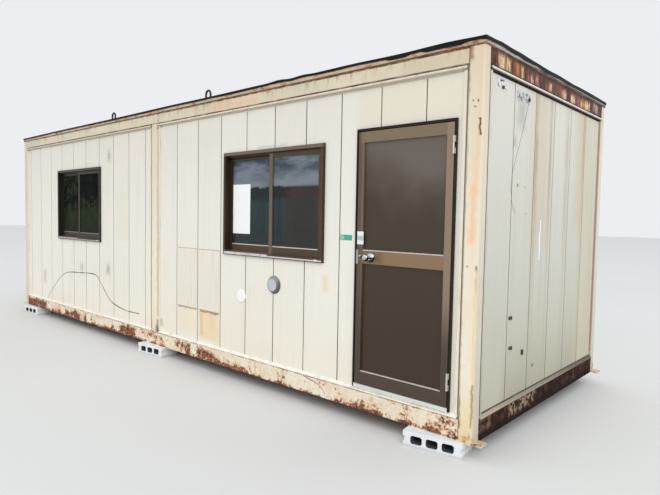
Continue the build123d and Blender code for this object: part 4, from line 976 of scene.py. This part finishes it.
door_frame = Finish("dark bronze frame", Metallic=0.2, Roughness=0.5, Specular_IOR_Level=0.2)
door_frame.lay(door_frame.mix(door_frame.grain(3.0, stretch=(4.0, 4.0, 1.0)), (32, 25, 21), (50, 39, 31)))
door_frame.bump(door_frame.grain(400.0), 0.0001)
dress(door_frame, "door_frame")

sill = Finish("grey sill aluminium", Metallic=0.4, Roughness=0.5)
scuff = sill.grain(1.0, 5.0, stretch=(4.0, 60.0, 60.0))
sill.lay(sill.mix(scuff, (206, 208, 200), (244, 244, 238)))
sill.bump(scuff, 0.0005)
dress(sill, "door_sill")

leaf_low, leaf_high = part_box("door_leaf")
panel_low, panel_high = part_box("door_panels")
BOTTOM_RAIL_TOP, MIDDLE_RAIL_BASE, MIDDLE_RAIL_TOP, TOP_RAIL_BASE = 0.375, 1.131, 1.221, 1.961
LEFT_STILE_EDGE, RIGHT_STILE_EDGE = 2.73, 3.372
rails = Finish("bronze door rails", Metallic=0.3, Roughness=0.38)
rails.lay(rails.mix(rails.span(rails.z, 0.55, 1.35), (66, 54, 44), (134, 114, 94)))
# Painted highlight along the right stile's edge.
right_stile_highlight = rails.span(rails.x, RIGHT_STILE_EDGE - 0.006, RIGHT_STILE_EDGE)
rails.coat(right_stile_highlight, (144, 124, 102), rails.span(rails.z, 0.60, 1.10))
left_shade = rails.span(rails.x, 2.735, 2.700, 0.32, 0.80)
rails.coat(left_shade, (66, 54, 46), rails.math("LESS_THAN", rails.x, 2.732))
middle_rail = front_box(
    rails, LEFT_STILE_EDGE, RIGHT_STILE_EDGE, MIDDLE_RAIL_BASE, MIDDLE_RAIL_TOP, 0.002)
rails.coat(middle_rail, (140, 111, 83))
by_knob = front_box(rails, LEFT_STILE_EDGE, 2.90, MIDDLE_RAIL_BASE, MIDDLE_RAIL_TOP, 0.05)
rails.coat(by_knob, (92, 74, 62), 0.5)
rails.coat(front_box(rails, 2.70, RIGHT_STILE_EDGE, TOP_RAIL_BASE, 2.10, 0.004), (122, 105, 80), 0.8)
grain = rails.grain(1.0, stretch=(6.0, 6.0, 200.0))
rails.coat(grain, (160, 138, 112), 0.15)
rails.bump(grain, 0.0001)
dress(rails, "door_leaf")

PANEL_GAP, BEAD_INSET = 0.002, 0.0005
# The door's beads carry the same painted highlight.
for name, z, rise in (("lower_bead", BOTTOM_RAIL_TOP, 0.0045), ("upper_bead", MIDDLE_RAIL_TOP, 0.0065)):
    add_piece(name, bead_mesh(
        panel_low.x + PANEL_GAP, panel_high.x - PANEL_GAP, z, rise, leaf_low.y + BEAD_INSET, panel_low.y),
        highlight_bead_metal, "door")

panels = Finish("satin brown panels", Metallic=0.15, Roughness=0.42, Specular_IOR_Level=0.3)
stirred = panels.use(ragged_place, Position=panels.place, Scale=1.6, Reach=0.9)["Position"]
sheen = panels.math("MULTIPLY_ADD", panels.x, 0.35, panels.split(stirred)[2])
panels.lay(panels.mix(panels.span(panels.z, 0.5, 1.5), (66, 52, 39), (70, 58, 46)))
panels.coat(panels.span(sheen, 2.45, 3.00), (106, 96, 88))
panels.bump(panels.grain(3.0), 0.002)
dress(panels, "door_panels")

hinges = plain_finish(
    "pale hinge steel", (196, 190, 182), (224, 220, 214), 60.0, Metallic=0.6, Roughness=0.35)
dress(hinges, "frame_hinges", "leaf_hinges")
zinc = plain_finish("zinc plate", (176, 172, 166), (206, 203, 198), 90.0, Metallic=0.8, Roughness=0.38)
dress(zinc, "strike_plate", "lock_plate")

chrome = Finish("worn chrome", Metallic=1.0, Roughness=0.14)
# Painted shade and highlight: dark on faces that turn down and to the right, bright on the rest.
facing = chrome.split(chrome.node("NewGeometry").outputs["Normal"])
upward = chrome.math("MULTIPLY_ADD", facing[0], -0.45, facing[2])
bright = chrome.mix(chrome.grain(50.0), (206, 204, 200), (240, 238, 236))
chrome.lay(chrome.mix(chrome.span(upward, -0.45, 0.15), (56, 51, 48), bright))
chrome.bump(chrome.grain(120.0), 0.0001)


def turned_mesh(profiles, x, z, sides=48):
    """Profiles of distance along Y and radius, turned about a line through x and z."""
    work = bmesh.new()
    for profile in profiles:
        rings = []
        for y, radius in profile:
            turns = [math.tau * k / sides for k in range(sides if radius else 1)]
            rings.append([work.verts.new((x + radius * math.cos(turn), y, z + radius * math.sin(turn)))
                          for turn in turns])
        for near, far in zip(rings, rings[1:]):
            for k in range(sides):
                after = (k + 1) % sides
                work.faces.new(dict.fromkeys((near[k % len(near)], near[after % len(near)],
                                              far[after % len(far)], far[k % len(far)])))
    return mesh_of(work, smooth=40)


def middle_of(box):
    """The middle of a box, given by its lowest and highest corners."""
    return (box[0] + box[1]) / 2


ROSE_SHAPE = [(0.0, 0.0110), (0.0175, 0.0112), (0.0180, 0.0150), (0.0160, 0.0230), (0.0105, 0.0290),
              (0.0050, 0.0330), (0.0020, 0.0340), (0.0, 0.0340)]
KNOB_SHAPE = [(0.0715, 0.0), (0.0718, 0.0060), (0.0712, 0.0070), (0.0716, 0.0080), (0.0705, 0.0170),
              (0.0670, 0.0215), (0.0610, 0.0230), (0.0520, 0.0226), (0.0440, 0.0190), (0.0370, 0.0140),
              (0.0300, 0.0108), (0.0020, 0.0104), (0.0020, 0.0)]
knob_at = middle_of(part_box("door_roses"))
leaf_faces = ((leaf_low.y, -1), (leaf_high.y, 1))
roses = add_piece("turned_roses", turned_mesh(
    [[(face + side * y, radius) for y, radius in ROSE_SHAPE] for face, side in leaf_faces],
    knob_at.x, knob_at.z), chrome, "door")
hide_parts("door_roses")
knobs = add_piece("turned_knobs", turned_mesh(
    [[(face + side * y, radius) for y, radius in KNOB_SHAPE] for face, side in leaf_faces],
    knob_at.x, knob_at.z), chrome, "knob")
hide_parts("door_knobs")

label = plain_finish("green label", (58, 158, 128), (84, 178, 148), 60.0, (60.0, 0.0002), Roughness=0.5)
# Painted highlight on the label's left end.
label.coat(front_box(label, 2.520, 2.545, 1.290, 1.318), (196, 226, 212), 0.6)
add_piece("wall_label", front_sheet(
    2.513, WALL_FACE_Y, 1.285, width=0.109, height=0.039, thick=0.0012, steps=(10, 4),
    lift=lambda s, t: 0.0006 * math.sin(5 * s)), label)

card = plain_finish("white card", (224, 232, 226), (240, 243, 240), 40.0, (40.0, 0.0002), Roughness=0.55)
card.coat(front_box(card, 2.684, 2.742, 1.290, 1.322, 0.008), (120, 178, 154), 0.7)
add_piece("door_card", front_sheet(
    2.6845, leaf_low.y, 1.263, width=0.0555, height=0.089, thick=0.0012, steps=(6, 8),
    lift=lambda s, t: 0.0006 * s * t), card, "door")

olive = plain_finish(
    "olive latch plate", (96, 88, 64), (126, 116, 86), 50.0, (200.0, 0.0002), Metallic=0.5, Roughness=0.4)
add_piece("latch_plate", front_sheet(
    2.701, leaf_low.y, 1.140, width=0.040, height=0.080, thick=0.0015, steps=(6, 8),
    lift=lambda s, t: 0.0008 * math.sin(math.pi * s)), olive, "door")
NUB_SHAPE = [(0.014, 0.0), (0.0138, 0.004), (0.012, 0.0085), (0.008, 0.0105), (0.0, 0.011), (0.0, 0.0)]
add_piece("latch_nub", turned_mesh(
    [[(leaf_low.y - y, radius) for y, radius in NUB_SHAPE]], 2.718, 1.182, 24), chrome, "door")


# Vent cap and round cover: a moulded plastic cap over the vent pipe and a flat white plug beside it,
# both pressed onto the wall.

VENT_SHAPE = [(0.0, 0.0), (0.0, 0.074), (0.003, 0.074), (0.005, 0.072), (0.005, 0.063), (0.014, 0.062),
              (0.020, 0.0605), (0.024, 0.057), (0.0255, 0.052), (0.0240, 0.0505), (0.0235, 0.048),
              (0.0245, 0.030), (0.0255, 0.0)]
COVER_SHAPE = [(0.0, 0.0), (0.0, 0.056), (0.004, 0.056), (0.009, 0.054), (0.012, 0.050), (0.0125, 0.044),
               (0.0115, 0.040), (0.0125, 0.034), (0.0138, 0.0)]
VENT_SIDES, VENT_RIM = 64, (0.0475, 0.0505)
vent_at, cover_at = middle_of(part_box("vent_cap")), middle_of(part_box("round_cover"))
vent = plain_finish(
    "grey vent plastic", (184, 184, 194), (202, 202, 210), 20.0, (200.0, 0.0002), Roughness=0.5)
reach_x = vent.math("SUBTRACT", vent.x, vent_at.x)
reach_z = vent.math("SUBTRACT", vent.z, vent_at.z)
radius = vent.math("ADD", vent.math("POWER", reach_x, 2.0), vent.math("POWER", reach_z, 2.0))
radius = vent.math("SQRT", radius)
# Painted shade in the groove round the cap's rim, darker on its lower right side.
shaded_low_side = vent.span(vent.math("SUBTRACT", reach_x, reach_z), -0.02, 0.07)
vent.coat(vent.span(radius, *VENT_RIM), vent.mix(shaded_low_side, (150, 148, 148), (104, 100, 98)))
cap = add_piece("moulded_vent_cap", turned_mesh(
    [[(WALL_FACE_Y - y, radius) for y, radius in VENT_SHAPE]], vent_at.x, vent_at.z, VENT_SIDES),
    vent)
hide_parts("vent_cap")

cover = plain_finish(
    "white cover plastic", (244, 243, 240), (252, 252, 251), 15.0, (90.0, 0.0006), Roughness=0.45)
plug = add_piece("moulded_round_cover", turned_mesh(
    [[(WALL_FACE_Y - y, radius) for y, radius in COVER_SHAPE]], cover_at.x, cover_at.z, VENT_SIDES),
    cover)
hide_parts("round_cover")


# Roof: a board core whose steel lip shows under the edge, a thin black sheet folded down over it that
# has buckled with age, and four lifting hoops of rusty bar.

FRONT_EDGE = [(-3.61, 2.508), (-2.4, 2.511), (-0.9, 2.508), (0.3, 2.511), (0.9, 2.509), (1.70, 2.511),
              (1.856, 2.518), (1.990, 2.509), (2.122, 2.515), (2.250, 2.510), (2.600, 2.512), (3.000, 2.508),
              (3.348, 2.514), (3.61, 2.508)]
END_EDGE = [(-1.16, 2.508), (-1.040, 2.510), (-0.958, 2.515), (-0.786, 2.512), (-0.695, 2.514),
            (-0.502, 2.510), (-0.180, 2.506), (0.0, 2.509), (0.322, 2.505), (0.462, 2.509), (0.765, 2.511),
            (1.16, 2.508)]
END_FOOT = [(-1.16, 2.481), (-1.038, 2.488), (-0.958, 2.490), (-0.873, 2.486), (-0.786, 2.482),
            (-0.695, 2.486), (-0.600, 2.480), (-0.502, 2.483), (-0.399, 2.487), (-0.292, 2.475),
            (-0.180, 2.477), (0.059, 2.483), (0.187, 2.477), (0.462, 2.484), (0.765, 2.480), (0.929, 2.485),
            (1.16, 2.482)]
BACK_EDGE = [(-3.61, 2.508), (-2.7, 2.513), (-1.2, 2.508), (0.3, 2.511), (1.9, 2.506), (3.61, 2.508)]
LEFT_EDGE = [(-1.16, 2.508), (-0.4, 2.505), (0.5, 2.511), (1.16, 2.508)]
HANGING = [(2.90, 3.06, 0.010), (3.20, 3.45, 0.012), (1.78, 1.92, 0.004)]
ROOF_TOP, EDGE_X, EDGE_Y, EDGE_STEP, LIP_FOOT = 2.510, 3.610, 1.160, 0.04, 2.460


def along_edge(table, place):
    """Height of the roof edge at a place, rounded between the measured spots."""
    for (start, low), (end, high) in zip(table, table[1:]):
        if place <= end:
            share = (place - start) / (end - start)
            share = share * share * (3 - 2 * share)
            return low + (high - low) * share
    return table[-1][1]


def roof_stations():
    """Points round the roof edge: across, along and the height of the edge there."""
    long_count, short_count = round(2 * EDGE_X / EDGE_STEP), round(2 * EDGE_Y / EDGE_STEP)
    xs = [-EDGE_X + 2 * EDGE_X * i / long_count for i in range(long_count)]
    ys = [-EDGE_Y + 2 * EDGE_Y * i / short_count for i in range(short_count)]
    return [*[(x, -EDGE_Y, along_edge(FRONT_EDGE, x)) for x in xs],
            *[(EDGE_X, y, along_edge(END_EDGE, y)) for y in ys],
            *[(-x, EDGE_Y, along_edge(BACK_EDGE, -x)) for x in xs],
            *[(-EDGE_X, -y, along_edge(LEFT_EDGE, -y)) for y in ys]]


def edge_ring(work, rows):
    """Rows of inset and height, given for each station, joined into a ring with flat ends."""
    loops = []
    for row in rows:
        loop = []
        for x, y, top in roof_stations():
            inset, z = row(x, y, top)
            loop.append(work.verts.new((x * (1 - inset / EDGE_X), y * (1 - inset / EDGE_Y), z)))
        loops.append(loop)
    add_skin(work, loops)


def ripple(x, y, size, seed):
    """A slow wave round the edge, up to a size either way."""
    return size * noise.noise(Vector((x * 4.0, y * 4.0, seed)))


def fold_foot(x, y, top):
    """Height of the folded sheet's foot, as measured on the right end and drooping on the front."""
    if x > EDGE_X - 0.001:
        return along_edge(END_FOOT, y)
    drop = 0.020 + ripple(x, y, 0.004, 4.0)
    if y < -EDGE_Y + 0.001:
        drop += sum(extra for start, end, extra in HANGING if start < x < end)
    return top - drop


work = bmesh.new()
edge_ring(work, [
    lambda x, y, top: (0.020, LIP_FOOT),
    lambda x, y, top: (0.008, LIP_FOOT + 0.0005),
    lambda x, y, top: (0.0045 - ripple(x, y, 0.004, 1.0), 2.4635 + ripple(x, y, 0.005, 2.0)),
    lambda x, y, top: (0.0048 - ripple(x, y, 0.003, 5.0), 2.472 + ripple(x, y, 0.004, 3.0)),
    lambda x, y, top: (0.0085, 2.477 + ripple(x, y, 0.004, 3.0)),
    lambda x, y, top: (0.0045, 2.481 + ripple(x, y, 0.004, 3.0)),
    lambda x, y, top: (0.0075, top - 0.014),
    lambda x, y, top: (0.060, top - 0.012),
    lambda x, y, top: (0.160, 2.486),
])
LIP_FRONT_Y, LIP_END_X = -1.14, 3.59
lip_steel = Finish("weathered lip")
lip_steel.lay(lip_steel.mix(lip_steel.grain(9.0, 4.0), (206, 204, 192), (168, 162, 148)))
in_front = lip_steel.math("LESS_THAN", lip_steel.y, LIP_FRONT_Y)
lip_steel.coat(in_front, (216, 190, 156), 0.7)
amount = lip_steel.math("MULTIPLY_ADD", in_front, 0.08, 0.33)
amount = lip_steel.math("ADD", lip_steel.span(lip_steel.z, 2.462, 2.470, 0.10, 0.0), amount)
# Painted shadow along the foot of the lip.
lip_steel.coat(lip_steel.span(lip_steel.z, 2.4715, 2.4680), (62, 42, 34))
at_end = lip_steel.math("GREATER_THAN", lip_steel.x, LIP_END_X)
# Painted shade along the foot of the lip on the back part of the right end.
far_end_shade = lip_steel.times(at_end, lip_steel.span(lip_steel.y, -0.60, -0.35))
far_end_shade = lip_steel.times(far_end_shade, lip_steel.span(lip_steel.z, 2.4790, 2.4750))
lip_steel.coat(far_end_shade, (60, 44, 38), 0.85)
weathered_steel(lip_steel, amount, (160, 116, 84))
lip = add_piece("buckled_lip", mesh_of(work, smooth=50), lip_steel)
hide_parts("roof_core")

work = bmesh.new()
edge_ring(work, [
    lambda x, y, top: (0.150, ROOF_TOP),
    lambda x, y, top: (0.110, ROOF_TOP - (ROOF_TOP - top) * 0.10),
    lambda x, y, top: (0.060, ROOF_TOP - (ROOF_TOP - top) * 0.55),
    lambda x, y, top: (0.020, ROOF_TOP - (ROOF_TOP - top) * 0.95),
    lambda x, y, top: (0.003, top),
    lambda x, y, top: (0.000, top - 0.003),
    lambda x, y, top: (0.0005, fold_foot(x, y, top)),
    lambda x, y, top: (0.0022, fold_foot(x, y, top)),
    lambda x, y, top: (0.0026, top - 0.005),
    lambda x, y, top: (0.020, top - 0.007),
    lambda x, y, top: (0.150, ROOF_TOP - 0.003),
])
SEAM_PITCH, SEAM_REACH, SEAM_HALF, SEAM_RISE, SEAM_STEPS = 0.480, 1.090, 0.013, 0.008, 6
SEAMS_EACH_SIDE = 7
for step in range(-SEAMS_EACH_SIDE, SEAMS_EACH_SIDE + 1):
    x = step * SEAM_PITCH
    section = [(x - SEAM_HALF, 0.0), (x - SEAM_HALF * 0.5, SEAM_RISE), (x + SEAM_HALF * 0.5, SEAM_RISE),
               (x + SEAM_HALF, 0.0)]
    add_skin(work, [
        [work.verts.new((u, -SEAM_REACH + SEAM_REACH * k / SEAM_STEPS, ROOF_TOP + rise))
         for u, rise in section] for k in range(2 * SEAM_STEPS + 1)])
roof = Finish("tarred roof sheet", Specular_IOR_Level=0.12)
roof.lay(roof.mix(roof.grain(4.0, 4.0), (15, 15, 16), (31, 28, 27)))
weathered_steel(roof, roof.span(roof.z, 2.478, 2.506, 0.36, 0.30), (52, 36, 30))
sheet = add_piece("buckled_roof_sheet", mesh_of(work, smooth=35), roof)
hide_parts("roof_sheet")

HOOP_BAR, HOOP_LEG, HOOP_SPRING, HOOP_FOOT = 0.0095, 0.0335, 2.5395, 2.462
HOOP_X, HOOP_Y, BAR_SIDES, BEND_STEPS, LEG_STEPS = 0.895, 1.138, 16, 14, 4


def hoop_mesh(side):
    """Two round bars bent over into hoops, in line with the long beam."""
    work = bmesh.new()
    rise = HOOP_SPRING - HOOP_FOOT
    path = [(-HOOP_LEG, HOOP_FOOT + rise * k / LEG_STEPS) for k in range(LEG_STEPS)]
    bends = [math.pi * k / BEND_STEPS for k in range(BEND_STEPS + 1)]
    path += [(-HOOP_LEG * math.cos(bend), HOOP_SPRING + HOOP_LEG * math.sin(bend)) for bend in bends]
    path += [(HOOP_LEG, HOOP_SPRING - rise * k / LEG_STEPS) for k in range(1, LEG_STEPS + 1)]
    turns = [math.tau * k / BAR_SIDES for k in range(BAR_SIDES)]
    for x in (-HOOP_X, HOOP_X):
        rows = []
        for index, (u, z) in enumerate(path):
            before, after = path[max(index - 1, 0)], path[min(index + 1, len(path) - 1)]
            along = Vector((after[0] - before[0], 0.0, after[1] - before[1])).normalized()
            out, over = Vector((along.z, 0.0, -along.x)), Vector((0, 1, 0))
            rows.append([work.verts.new(Vector((x + u, side * HOOP_Y, z)) + (
                out * math.cos(turn) + over * math.sin(turn)) * HOOP_BAR) for turn in turns])
        add_skin(work, rows)
    return mesh_of(work, smooth=50)


hoops = Finish("rusty hoop steel", Roughness=0.8, Metallic=0.2)
spots = hoops.use(rust, Position=hoops.place, Amount=0.45)
hoops.lay(hoops.mix(spots["Mask"], (64, 54, 52), spots["Color"]))
hoops.bump(spots["Height"], 0.001)
for name, side in (("front", -1), ("back", 1)):
    bars = add_piece(f"{name}_hoops", hoop_mesh(side), hoops)
    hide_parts(f"{name}_lifting_eyes")

ceiling = plain_finish("pale ceiling board", (216, 212, 202), (226, 222, 212), 3.0, Roughness=0.8)
dress(ceiling, "ceiling_board")
